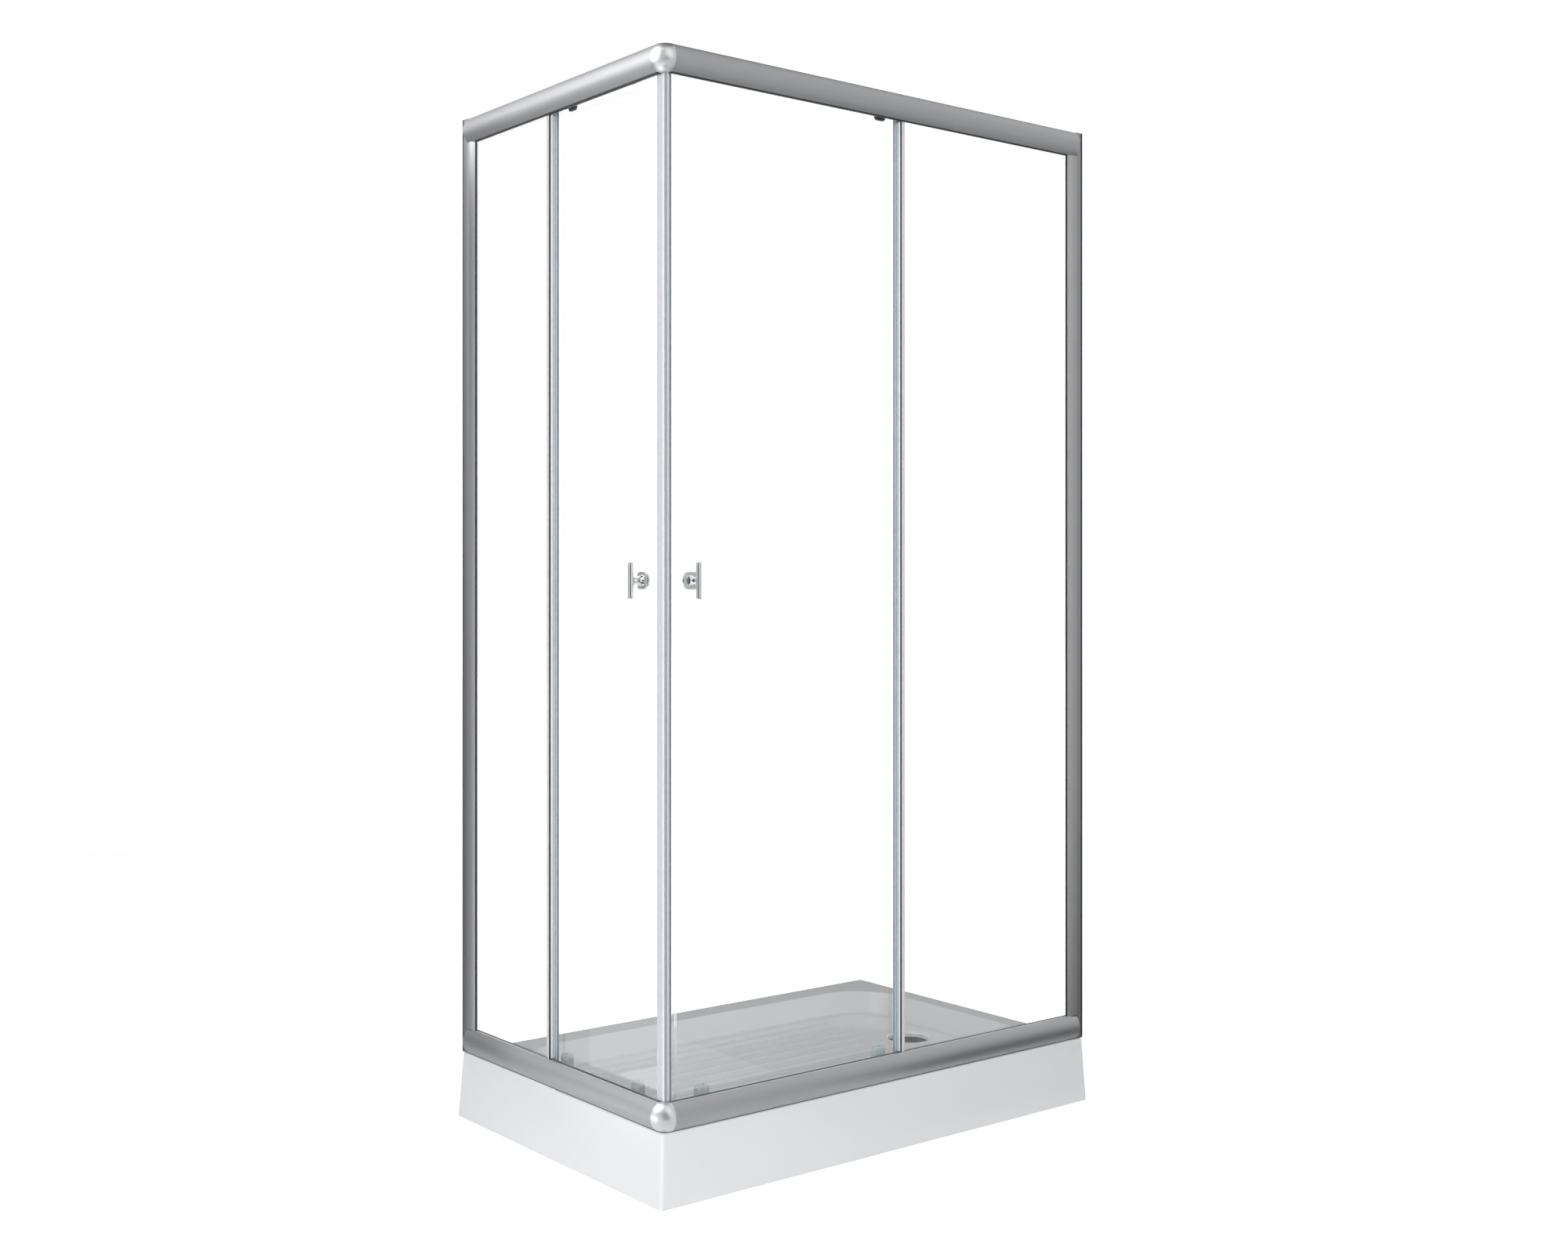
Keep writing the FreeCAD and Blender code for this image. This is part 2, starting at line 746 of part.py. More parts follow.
def wall_jamb(side):
    wall = side.length
    z0 = rail_base
    z1 = frame_top
    tongue_face = channel_face + channel_flange + jamb_gap
    tongue_back = channel_back - channel_flange - jamb_gap
    outer = wall - channel_width
    inner = wall - jamb_reach
    slot_front = fixed_face - pane_gasket
    slot_end = inner + jamb_slot_depth
    back_start = inner + jamb_back_set
    tongue_end = wall - jamb_tongue_end
    pieces = [jamb_nose(side, z0, z1),
              box(outer - rail_wall, outer, channel_face, tongue_face + rail_wall, z0, z1),
              box(outer - rail_wall, tongue_end, tongue_face, tongue_face + rail_wall, z0, z1),
              box(tongue_end - rail_wall, tongue_end, tongue_face, tongue_back, z0, z1),
              box(outer - rail_wall, tongue_end, tongue_back - rail_wall, tongue_back, z0, z1),
              box(outer - rail_wall, outer, tongue_back - rail_wall, channel_back, z0, z1),
              box(back_start, outer, channel_back - rail_wall, channel_back, z0, z1),
              box(inner, slot_end + rail_wall, jamb_nose_depth, slot_front, z0, z1),
              box(slot_end, slot_end + rail_wall, jamb_nose_depth, rib_back, z0, z1),
              box(back_start, slot_end + rail_wall, rib_face, rib_back, z0, z1),
              box(back_start, back_start + rail_wall, rib_back - rail_wall / 2, channel_back, z0, z1)]
    profile = joined(pieces)
    profile = profile.cut([rail_envelope(side, rail_base), rail_envelope(side, top_rail_base)])
    between = box(outer - overrun * 2, outer, -overrun, rail_back + overrun,
                  rail_base + rail_height, top_rail_base)
    tongue = box(outer, wall, -overrun, rail_back + overrun, z0, z1)
    kept = profile.common(joined([between, tongue]))
    return kept.cut(jamb_screw_holes(side))


def fixed_glass(side):
    return box(side.entry + strip_nose, side.length - jamb_reach + glass_in_jamb,
               fixed_face, fixed_inner_face, fixed_glass_foot, fixed_glass_head)


def fixed_glass_gasket(side):
    """Black wedge gaskets that hold the pane in the jamb, one on each face."""
    inner = side.length - jamb_reach
    z0 = rail_base + rail_height
    z1 = top_rail_base
    outer_wedge = box(inner - gasket_show, inner + glass_in_jamb,
                      fixed_face - pane_gasket, fixed_face, z0, z1)
    outer_bead = box(inner - gasket_show, inner, jamb_nose_depth, fixed_face - pane_gasket / 2, z0, z1)
    inner_wedge = box(inner + jamb_back_set, inner + glass_in_jamb, fixed_inner_face, rib_face, z0, z1)
    return [joined([outer_wedge, outer_bead]), inner_wedge]


def fixed_glass_edge_strip(side):
    """The profile on the free edge of a fixed pane, with a lip towards the door."""
    z0 = rail_base + rail_height
    z1 = top_rail_base - lip_seal_drop
    u0 = side.entry
    sleeve = box(u0, u0 + strip_width, fixed_face - strip_wall, fixed_inner_face + strip_wall, z0, z1)
    groove = box(u0 + strip_nose, u0 + strip_width + overrun, fixed_face, fixed_inner_face,
                 z0 - overrun, z1 + overrun)
    lip = box(u0, u0 + strip_lip_wall, fixed_inner_face, strip_lip_end,
              z0 + strip_lip_clear, z1 - strip_lip_clear)
    return joined([sleeve.cut(groove), lip])


def track_stops(side):
    """Blocks in the top track that end the travel of the wheels."""
    reach = top_wheel_radius + stop_gap
    closed = side.hangers["front"] - reach - stop_length
    opened = side.hangers["rear"] + side.travel + reach
    stops = []
    for u in (closed, opened):
        block = box(u, u + stop_length, top_wheel_depth, top_wheel_depth + wheel_width,
                    top_shelf_top, top_shelf_top + stop_height)
        bead = box(u - overrun, u + stop_length + overrun, top_wheel_middle - bead_width / 2,
                   top_wheel_middle + bead_width / 2, top_shelf_top - overrun, top_bead_top)
        stops.append(block.cut(bead))
    return stops


# Doors
def glass_bolt_places(side):
    """Where the four bolts go through a door: u, z, and whether the head is outside."""
    upper = [(u, top_rail_base + glass_bolt_height, False) for u in side.hangers.values()]
    lower = [(u, rail_base + lower_bolt_height, True) for u in side.guides.values()]
    return upper + lower


def door_glass(side):
    pane = box(magnet_seal_glass, side.door_rear - rear_seal_nose, door_face, door_inner_face,
               door_foot, door_head)
    holes = [rod_inwards(u, z, door_face - overrun, door_inner_face + overrun, glass_hole_radius)
             for u, z, outside in glass_bolt_places(side)]
    holes.append(rod_inwards(side.handle, handle_height, door_face - overrun,
                             door_inner_face + overrun, handle_hole_radius))
    return pane.cut(holes)


def magnet_seal(side):
    """The front edge profile, cut at 45 degrees where the two doors meet."""
    face = door_face - seal_wall
    back = door_inner_face + seal_wall
    grip_end = magnet_seal_glass + magnet_seal_grip
    outline = [Vector(face + magnet_gap, face, door_foot), Vector(grip_end, face, door_foot),
               Vector(grip_end, back, door_foot), Vector(back + magnet_gap, back, door_foot)]
    body = extruded(outline, Vector(0, 0, door_head - door_foot))
    groove = box(magnet_seal_glass, grip_end + overrun, door_face, door_inner_face,
                 door_foot - overrun, door_head + overrun)
    return joined([body.cut(groove), magnet_seal_head(side, face + seal_wall / 2)])


def magnet_seal_head(side, root):
    """The outer part of the seal, which closes the corner between the two rails."""
    foot = rail_base + rail_height + magnet_head_clear
    head = top_rail_base - magnet_head_clear
    outline = [Vector(magnet_head_face + magnet_gap, magnet_head_face, foot),
               Vector(side.magnet_head, magnet_head_face, foot),
               Vector(side.magnet_head, root, foot), Vector(root + magnet_gap, root, foot)]
    return extruded(outline, Vector(0, 0, head - foot))


def rear_seal(side):
    u1 = side.door_rear
    body = box(u1 - rear_seal_width, u1, door_face - seal_wall, door_inner_face + seal_wall,
               door_foot, door_head)
    groove = box(u1 - rear_seal_width - overrun, u1 - rear_seal_nose, door_face, door_inner_face,
                 door_foot - overrun, door_head + overrun)
    return body.cut(groove)


def handle_grip(side):
    """A round bar on a round stem with a collar at its foot."""
    u = side.handle
    half = handle_bar_length / 2
    base_face = door_face - handle_base_thickness
    bar = rod_up(u, handle_bar_depth, handle_height - half, handle_height + half, handle_bar_radius)
    bar = bar.makeFillet(handle_end_round, bar.Edges[:1] + bar.Edges[2:])
    stem = rod_inwards(u, handle_height, handle_bar_depth, base_face, handle_stem_radius)
    collar = rod_inwards(u, handle_height, base_face - handle_collar, base_face, handle_collar_radius)
    collar = round_edges(collar, handle_collar / 2,
                         lambda edge: edge.CenterOfMass.y < base_face - handle_collar / 2)
    grip = joined([bar, stem, collar])
    return grip.cut(handle_screw_bore(side))


def handle_screw_bore(side):
    end = door_inner_face - handle_screw_reach - handle_screw_clearance
    return rod_inwards(side.handle, handle_height, end, door_face + overrun,
                       handle_screw_radius + handle_screw_clearance)


def handle_base(side):
    """The rounded square plate between the stem and the glass."""
    u = side.handle
    base_face = door_face - handle_base_thickness
    plate = box(u - handle_base_width / 2, u + handle_base_width / 2, base_face, door_face,
                handle_height - handle_base_height / 2, handle_height + handle_base_height / 2)
    plate = round_edges(plate, handle_base_round, runs_inwards)
    plate = round_edges(plate, handle_end_round,
                        lambda edge: edge.CenterOfMass.y < base_face + handle_end_round / 2)
    return plate.cut(handle_screw_bore(side))


def handle_back_plate(side):
    u = side.handle
    disc_end = door_inner_face + handle_back_thickness
    disc = rod_inwards(u, handle_height, door_inner_face, disc_end, handle_back_radius)
    disc = round_edges(disc, handle_end_round,
                       lambda edge: edge.CenterOfMass.y > disc_end - handle_end_round / 2)
    screw = rod_inwards(u, handle_height, door_inner_face - handle_screw_reach, door_inner_face,
                        handle_screw_radius)
    return joined([disc, screw])


def top_carrier(end, u):
    """The plate that hangs a door pane from one top wheel."""
    plate = box(u - carrier_width / 2, u + carrier_width / 2, carrier_face, carrier_face + carrier_thickness,
                carrier_feet[end], top_rail_base + carrier_top)
    plate = round_edges(plate, carrier_round, runs_inwards)
    holes = [rod_inwards(u, top_axle_level, carrier_face - overrun, door_face, axle_radius),
             rod_inwards(u, top_rail_base + glass_bolt_height, carrier_face - overrun, door_face,
                         glass_bolt_radius)]
    return plate.cut(holes)


def top_axle(u):
    """A shoulder bolt: head, seat in the carrier, shoulder, and the wheel's journal."""
    z = top_axle_level
    plate_back = carrier_face + carrier_thickness
    shoulder_end = top_wheel_depth - axle_end_play
    journal_end = top_wheel_depth + wheel_width + axle_tail
    return joined([rod_inwards(u, z, carrier_face - axle_head, carrier_face, axle_head_radius),
                   rod_inwards(u, z, carrier_face, plate_back, axle_radius),
                   rod_inwards(u, z, plate_back, shoulder_end, axle_shoulder_radius),
                   rod_inwards(u, z, shoulder_end, journal_end, axle_radius)])


def glass_bolt(u, z, outside):
    """A flat round headed bolt through the pane, with its head on one face of it."""
    if outside:
        head = (door_face - pane_clearance - glass_bolt_head, door_face - pane_clearance)
        shank = (head[1], head[1] + glass_bolt_length)
    else:
        head = (door_inner_face + pane_clearance, door_inner_face + pane_clearance + glass_bolt_head)
        shank = (head[0] - glass_bolt_length, head[0])
    return joined([rod_inwards(u, z, head[0], head[1], glass_bolt_head_radius),
                   rod_inwards(u, z, shank[0], shank[1], glass_bolt_radius)])


def grooved_wheel(u, z, depth, radius, groove_radius):
    """A wheel with a square groove round its rim and a bore for its journal."""
    middle = depth + wheel_width / 2
    rim = rod_inwards(u, z, depth, depth + wheel_width, radius)
    rim = rim.makeFillet((wheel_width / 2 - groove_half_width) / 2,
                         [edge for edge in rim.Edges if len(edge.Vertexes) == 1])
    ring = rod_inwards(u, z, middle - groove_half_width, middle + groove_half_width, radius + overrun)
    ring = ring.cut(rod_inwards(u, z, depth, depth + wheel_width, groove_radius))
    bore = rod_inwards(u, z, depth - overrun, depth + wheel_width + overrun, wheel_bore)
    return rim.cut([ring, bore])


def arched_block(u, face, back, crown):
    """A block with a rounded head, from the foot of the housing up to its crown."""
    block = box(u - housing_width / 2, u + housing_width / 2, face, back, housing_base_level, crown)
    return round_edges(block, housing_round,
                       lambda edge: runs_inwards(edge) and edge.CenterOfMass.z > crown - housing_round)


def lower_housing(u):
    """The grey block on the inner face of a door pane, open at its back round the button."""
    block = arched_block(u, housing_start, housing_back, shield_top_level)
    gap = box(u - finger_gap / 2, u + finger_gap / 2, body_face, housing_back + overrun,
              housing_top_level, frame_top)
    bolt_end = door_face - pane_clearance + glass_bolt_length + pane_clearance
    cuts = [rod_up(u, housing_middle, 0, frame_top, plunger_bore),
            rod_up(u, housing_middle, button_seat_level(), frame_top, button_bore),
            rod_inwards(u, rail_base + lower_bolt_height, 0, bolt_end, glass_bolt_radius)]
    return block.cut(cuts + [gap])


def button_underside():
    return housing_top_level + button_show - button_height


def button_seat_level():
    return button_underside() - spring_space


def release_plunger(u):
    """The sprung plunger: button on top, neck, shoe below, and the lower wheel's journal."""
    top = housing_top_level + button_show
    button = rod_up(u, housing_middle, button_underside(), top, button_radius)
    button = round_edges(button, button_round, lambda edge: edge.CenterOfMass.z > top - button_round / 2)
    shoe_foot = lower_axle_level - shoe_below_axle
    shoe_top = housing_base_level - shoe_gap
    shoe_face = housing_middle - shoe_depth / 2
    shoe = box(u - shoe_width / 2, u + shoe_width / 2, shoe_face, shoe_face + shoe_depth, shoe_foot, shoe_top)
    neck = rod_up(u, housing_middle, shoe_top - shoe_gap, button_underside() + button_round, plunger_radius)
    keeper_end = lower_wheel_depth - axle_end_play
    journal = rod_inwards(u, lower_axle_level, keeper_end - keeper_width, shoe_face + shoe_gap, axle_radius)
    keeper = rod_inwards(u, lower_axle_level, keeper_end - keeper_width, keeper_end, keeper_radius)
    return joined([button, neck, shoe, journal, keeper])


def release_spring(u):
    """The coil spring that lifts the plunger, as the tube that it fills."""
    outer = rod_up(u, housing_middle, button_seat_level(), button_underside(), spring_outer_radius)
    return outer.cut(rod_up(u, housing_middle, 0, frame_top, spring_inner_radius))


# All nodes
def tray_nodes():
    return {"shower_tray": shower_tray(), "tray_base_board": tray_base_board(),
            "tray_support_bars": tray_support_bars(), "tray_foot_studs": tray_foot_studs(),
            "tray_foot_nuts": tray_foot_nuts(), "tray_foot_pads": tray_foot_pads()}


def frame_nodes(side):
    nodes = {"top_rail": top_rail(side), "bottom_rail": bottom_rail(side),
             "wall_channel": wall_channel(side), "wall_jamb": wall_jamb(side),
             "fixed_glass": fixed_glass(side)}
    return {side.name + "_" + name: shape for name, shape in nodes.items()}


def shared_frame_nodes():
    """Frame pieces of both sides that are alike and share one node."""
    makers = {"frame_base_seals": lambda side: [frame_base_seal(side)],
              "top_rail_seals": lambda side: [top_rail_seal(side)],
              "fixed_glass_gaskets": fixed_glass_gasket,
              "fixed_glass_edge_strips": lambda side: [fixed_glass_edge_strip(side)],
              "track_stops": track_stops,
              "frame_screws": side_screws}
    return {name: [placed(piece, side) for side in sides for piece in maker(side)]
            for name, maker in makers.items()}


def side_screws(side):
    screws = []
    for base in (rail_base, top_rail_base):
        for u in connector_screw_places():
            screws.append(frame_screw(u, rib_back, base + connector_screw_height))
    for z in wall_hole_levels():
        screws.append(frame_screw(side.length - channel_width / 2, channel_back, z + wall_hole_inset / 2))
    return screws


def door_nodes(side):
    guides = side.guides.values()
    hangers = side.hangers.values()
    nodes = {"door_glass": door_glass(side), "door_magnet_seal": magnet_seal(side),
             "door_rear_seal": rear_seal(side), "handle_grip": handle_grip(side),
             "handle_base": handle_base(side), "handle_back_plate": handle_back_plate(side),
             "top_carriers": [top_carrier(end, u) for end, u in side.hangers.items()],
             "top_axles": [top_axle(u) for u in hangers],
             "lower_housings": [lower_housing(u) for u in guides],
             "glass_bolts": [glass_bolt(*place) for place in glass_bolt_places(side)]}
    for end, u in side.hangers.items():
        nodes[end + "_top_wheel"] = grooved_wheel(u, top_axle_level, top_wheel_depth,
                                                  top_wheel_radius, top_groove_radius)
    for end, u in side.guides.items():
        nodes[end + "_lower_wheel"] = grooved_wheel(u, lower_axle_level, lower_wheel_depth,
                                                    lower_wheel_radius, lower_groove_radius)
        nodes[end + "_release_plunger"] = release_plunger(u)
        nodes[end + "_release_spring"] = release_spring(u)
    return {side.name + "_" + name: shape for name, shape in nodes.items()}


def export(name, shape):
    pieces = shape if isinstance(shape, list) else [shape]
    whole = pieces[0] if len(pieces) == 1 else Part.makeCompound(pieces)
    whole.exportStep(os.path.join("parts", name + ".step"))
    print(name, len(whole.Solids), round(whole.Volume), whole.isValid())


def main():
    os.makedirs("parts", exist_ok=True)
    for name, shape in tray_nodes().items():
        pieces = shape if isinstance(shape, list) else [shape]
        export(name, [placed(piece, long_side) for piece in pieces])
    export("top_corner_connector", placed(corner_connector(top_rail_base), long_side))
    export("bottom_corner_connector", placed(corner_connector(rail_base), long_side))
    for name, pieces in shared_frame_nodes().items():
        export(name, pieces)
    for side in sides:
        for name, shape in {**frame_nodes(side), **door_nodes(side)}.items():
            pieces = shape if isinstance(shape, list) else [shape]
            export(name, [placed(piece, side) for piece in pieces])
        print(side.name, "door travel", side.travel)


main()
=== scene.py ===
# %% [markdown]
# A corner entry shower enclosure with two sliding glass doors, on a ribbed white tray.
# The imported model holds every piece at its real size. This file gives those pieces their finishes,
# swaps the small pieces for finer ones, and sets the studio, the lamps and the camera.
# Everything is in metres, with +Z up and the origin on the floor in the middle of the footprint.

# %% Load the frame
import json
import math
import bmesh
import bpy
from mathutils import Matrix, Vector


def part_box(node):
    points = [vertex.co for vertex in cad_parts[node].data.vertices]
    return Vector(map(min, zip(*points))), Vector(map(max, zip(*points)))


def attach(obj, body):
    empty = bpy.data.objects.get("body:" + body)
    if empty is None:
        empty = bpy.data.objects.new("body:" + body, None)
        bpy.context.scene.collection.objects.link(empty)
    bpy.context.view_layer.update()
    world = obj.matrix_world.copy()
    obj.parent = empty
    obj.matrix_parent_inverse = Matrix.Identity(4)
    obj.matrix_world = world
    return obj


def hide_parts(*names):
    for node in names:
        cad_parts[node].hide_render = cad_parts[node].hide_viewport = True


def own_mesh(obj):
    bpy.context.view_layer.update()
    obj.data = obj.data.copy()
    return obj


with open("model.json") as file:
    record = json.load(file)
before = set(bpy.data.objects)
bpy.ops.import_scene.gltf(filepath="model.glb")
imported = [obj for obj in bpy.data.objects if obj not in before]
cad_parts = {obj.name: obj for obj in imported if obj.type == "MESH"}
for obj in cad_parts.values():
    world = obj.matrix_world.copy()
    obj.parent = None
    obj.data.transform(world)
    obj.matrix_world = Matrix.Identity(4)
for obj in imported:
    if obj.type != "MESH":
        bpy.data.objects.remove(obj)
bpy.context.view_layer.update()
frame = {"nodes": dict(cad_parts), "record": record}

nodes = frame["nodes"]
mm = 0.001

# %% [markdown]
# The camera stands in front of the entry corner, a little to the left of the diagonal, at about
# chest height. It looks level, so upright edges stay upright in the picture, as in a catalogue
# photograph taken with a shift lens. A longer lens would flatten the corner more than the photograph does.

# %% Camera
camera_place = Vector((-2.406, -3.038, 1.129))
camera_turn = -0.6738
focal_length = 41.96
camera_drop = -0.0328

lens = bpy.data.cameras.new("camera")
lens.lens = focal_length
lens.shift_y = camera_drop
camera = bpy.data.objects.new("camera", lens)
camera.location = camera_place
camera.rotation_euler = (math.radians(90), 0, camera_turn)
scene = bpy.context.scene
scene.collection.objects.link(camera)
scene.camera = camera
scene.view_settings.view_transform = "Standard"
print("camera at", tuple(round(v, 3) for v in camera.location))

# %% [markdown]
# Materials are small node trees. A few helpers keep them short: one adds a node with its inputs, one
# a noise that can be drawn out along an axis, and others turn that grey pattern into a colour, a
# roughness or a relief. The patterns use object coordinates, which are real metres here, so a streak
# that is half a millimetre wide on the real extrusion is that wide here too.

# %% Material helpers
def new_material(name, colour, roughness, metallic=0.0):
    """A material with one Principled shader, and its tree."""
    material = bpy.data.materials.new(name)
    material.use_nodes = True
    tree = material.node_tree
    shader = tree.nodes["Principled BSDF"]
    shader.inputs["Base Color"].default_value = (*colour, 1)
    shader.inputs["Roughness"].default_value = roughness
    shader.inputs["Metallic"].default_value = metallic
    return material, tree, shader


def feed(tree, socket, value):
    """Give an input a value, or the output that feeds it."""
    if isinstance(value, bpy.types.NodeSocket):
        tree.links.new(value, socket)
    else:
        socket.default_value = value


def add(tree, kind, **inputs):
    """The outputs of a new shader node with the given inputs."""
    node = tree.nodes.new("ShaderNode" + kind)
    for name, value in inputs.items():
        feed(tree, node.inputs[name.replace("_", " ")], value)
    return node.outputs


def noise(tree, scale, stretch=(1, 1, 1), detail=3.0):
    """A grey noise in object coordinates, drawn out along an axis where stretch is small."""
    place = add(tree, "Mapping", Vector=add(tree, "TexCoord")["Object"], Scale=stretch)["Vector"]
    return add(tree, "TexNoise", Vector=place, Scale=scale, Detail=detail)["Fac"]


pattern_middle = (0.3, 0.7)


def spread(tree, value, low, high, part=pattern_middle):
    """Map a part of a value's range to the values from low to high."""
    return add(tree, "MapRange", Value=value, From_Min=part[0], From_Max=part[1],
               To_Min=low, To_Max=high)["Result"]


def vary_roughness(tree, shader, value, low, high):
    tree.links.new(spread(tree, value, low, high), shader.inputs["Roughness"])


def vary_colour(tree, shader, value, dark, light):
    """Colour the surface between two shades by a grey pattern."""
    ramp = tree.nodes.new("ShaderNodeValToRGB")
    for stop, position, colour in zip(ramp.color_ramp.elements, pattern_middle, (dark, light)):
        stop.position = position
        stop.color = (*colour, 1)
    tree.links.new(value, ramp.inputs["Fac"])
    tree.links.new(ramp.outputs["Color"], shader.inputs["Base Color"])


def raise_surface(tree, shader, value, height, strength=0.5):
    """Raise the surface by a grey pattern; height is the real height in metres."""
    relief = add(tree, "Bump", Strength=strength, Distance=height, Height=value)
    tree.links.new(relief["Normal"], shader.inputs["Normal"])


def calculated(tree, operation, *values):
    """The result of a maths node whose inputs are sockets or numbers."""
    node = tree.nodes.new("ShaderNodeMath")
    node.operation = operation
    for socket, value in zip(node.inputs, values):
        feed(tree, socket, value)
    return node.outputs["Value"]


def show_mixed(tree, share, first, second, output="Material Output"):
    """Show the first shader where the share is zero and the second where it is one."""
    mix = tree.nodes.new("ShaderNodeMixShader")
    tree.links.new(share, mix.inputs["Fac"])
    tree.links.new(first, mix.inputs[1])
    tree.links.new(second, mix.inputs[2])
    tree.links.new(mix.outputs["Shader"], tree.nodes[output].inputs["Surface"])


print("material helpers ready")

# %% [markdown]
# Sanitary acrylic is a white sheet, heated and drawn over a mould. It keeps a high gloss with a faint
# orange-peel wave. A thin clear coat over a slightly uneven white gives the crisp lamp reflections
# without turning the whole surface into a mirror.

# %% Acrylic
def acrylic():
    material, tree, shader = new_material("acrylic", (0.84, 0.845, 0.86), 0.14)
    wave = noise(tree, 25, detail=1)
    vary_colour(tree, shader, noise(tree, 4, detail=1), (0.838, 0.843, 0.855), (0.848, 0.853, 0.865))
    vary_roughness(tree, shader, noise(tree, 9, detail=1), 0.24, 0.27)
    raise_surface(tree, shader, wave, 0.04 * mm, 0.3)
    shader.inputs["Coat Weight"].default_value = 0.15
    shader.inputs["Coat Roughness"].default_value = 0.08
    return material


print("acrylic")

# %% [markdown]
# The rails and jambs are drawn through a die and then anodised matt silver, so their grain runs along
# each profile. One function makes the finish for a profile that runs along X, Y or Z: the same noise is
# drawn out along that way, and moves the colour and the roughness a little. A single material for all
# of them would run the grain across half of the pieces.

# %% Aluminium
profile_ways = {"x": (0.002, 1, 1), "y": (1, 0.002, 1), "z": (1, 1, 0.002)}


def anodised_aluminium(way, name="anodised_aluminium_", shade=1.0):
    material, tree, shader = new_material(name + way, (0.56, 0.57, 0.59), 0.58, 1.0)
    streaks = noise(tree, 1400, profile_ways[way], detail=4)
    grain = noise(tree, 5000, detail=2)
    greys = ((0.545, 0.55, 0.56), (0.60, 0.605, 0.615))
    dark, light = [tuple(shade * value for value in grey) for grey in greys]
    vary_colour(tree, shader, streaks, dark, light)
    vary_roughness(tree, shader, streaks, 0.54, 0.62)
    raise_surface(tree, shader, grain, 0.01 * mm, 0.3)
    return material


print("aluminium runs", sorted(profile_ways))

# %% [markdown]
# The corner elbows are mouldings with a satin-silver plating, glossier than the rails. Chrome on the
# handles is nearly a mirror, and their base plates are satin. All are metals whose roughness moves a
# little, because plating over polished metal always keeps a trace of the polishing.

# %% Plated finishes
def metal(name, dark, light, rough, grain, detail=3, relief=None):
    """A metal whose working marks move its colour and roughness, and its surface if they are deep."""
    material, tree, shader = new_material(name, light, rough[0], 1.0)
    marks = noise(tree, grain, detail=detail)
    vary_colour(tree, shader, marks, dark, light)
    vary_roughness(tree, shader, marks, *rough)
    if relief:
        raise_surface(tree, shader, marks, relief, 0.4)
    return material


plated_elbow = metal("plated_elbow", (0.82, 0.83, 0.84), (0.87, 0.88, 0.89), (0.38, 0.44), 60)
polished_chrome = metal("polished_chrome", (0.84, 0.85, 0.86), (0.89, 0.90, 0.91), (0.03, 0.08), 300, 4)
satin_chrome = metal("satin_chrome", (0.82, 0.84, 0.85), (0.87, 0.89, 0.90), (0.32, 0.38), 900)
print("plated finishes")

# %% [markdown]
# Toughened glass is clear on its faces and green where its cut edge is seen. A pane is modelled with
# its real thickness, so the refraction is right, and the colour is chosen by the way a face points:
# the two broad faces are clear and the narrow ones green. Shadow rays pass straight through, because
# bent light through panes would need far more samples and would leave the tray dark and noisy.

# %% Clear glass
clear_face = (0.99, 0.997, 0.994)
green_edge = (0.52, 0.72, 0.66)
passing_light = (0.93, 0.955, 0.95)


def clear_glass(across):
    """Glass for a pane whose broad faces point along X or Y."""
    material, tree, shader = new_material("clear_glass_" + across, clear_face, 0.0)
    shader.inputs["Transmission Weight"].default_value = 1.0
    shader.inputs["IOR"].default_value = 1.5
    normal = add(tree, "SeparateXYZ", Vector=add(tree, "NewGeometry")["Normal"])
    broad = calculated(tree, "ABSOLUTE", normal[across.upper()])
    vary_colour(tree, shader, broad, green_edge, clear_face)
    vary_roughness(tree, shader, noise(tree, 9, detail=4), 0.0, 0.012)
    let_light_through(tree, shader, passing_light)
    return material


def let_light_through(tree, shader, colour):
    """Let shadow rays pass through a clear surface."""
    passing = add(tree, "BsdfTransparent", Color=(*colour, 1))
    show_mixed(tree, add(tree, "LightPath")["Is Shadow Ray"], shader.outputs["BSDF"], passing["BSDF"])


print("clear glass")

# %% [markdown]
# The seals, guides, rollers and feet are moulded plastics and rubbers. They share one recipe: a fine
# moulded texture that moves the colour, the roughness and the relief. Each call names its own shades,
# and a translucent one lets some light through its body.

# %% Plastics and rubbers
soft_plastic_bend = 1.12


def moulded(name, dark, light, rough=(0.35, 0.5), grain=2500, height=0.02 * mm, clear=0.0):
    """A moulded plastic or rubber between two shades."""
    material, tree, shader = new_material(name, light, rough[0])
    texture = noise(tree, grain, detail=4)
    vary_colour(tree, shader, noise(tree, grain / 20, detail=3), dark, light)
    vary_roughness(tree, shader, texture, *rough)
    raise_surface(tree, shader, texture, height)
    shader.inputs["Transmission Weight"].default_value = clear
    if clear:
        shader.inputs["IOR"].default_value = soft_plastic_bend
        let_light_through(tree, shader, light)
    return material


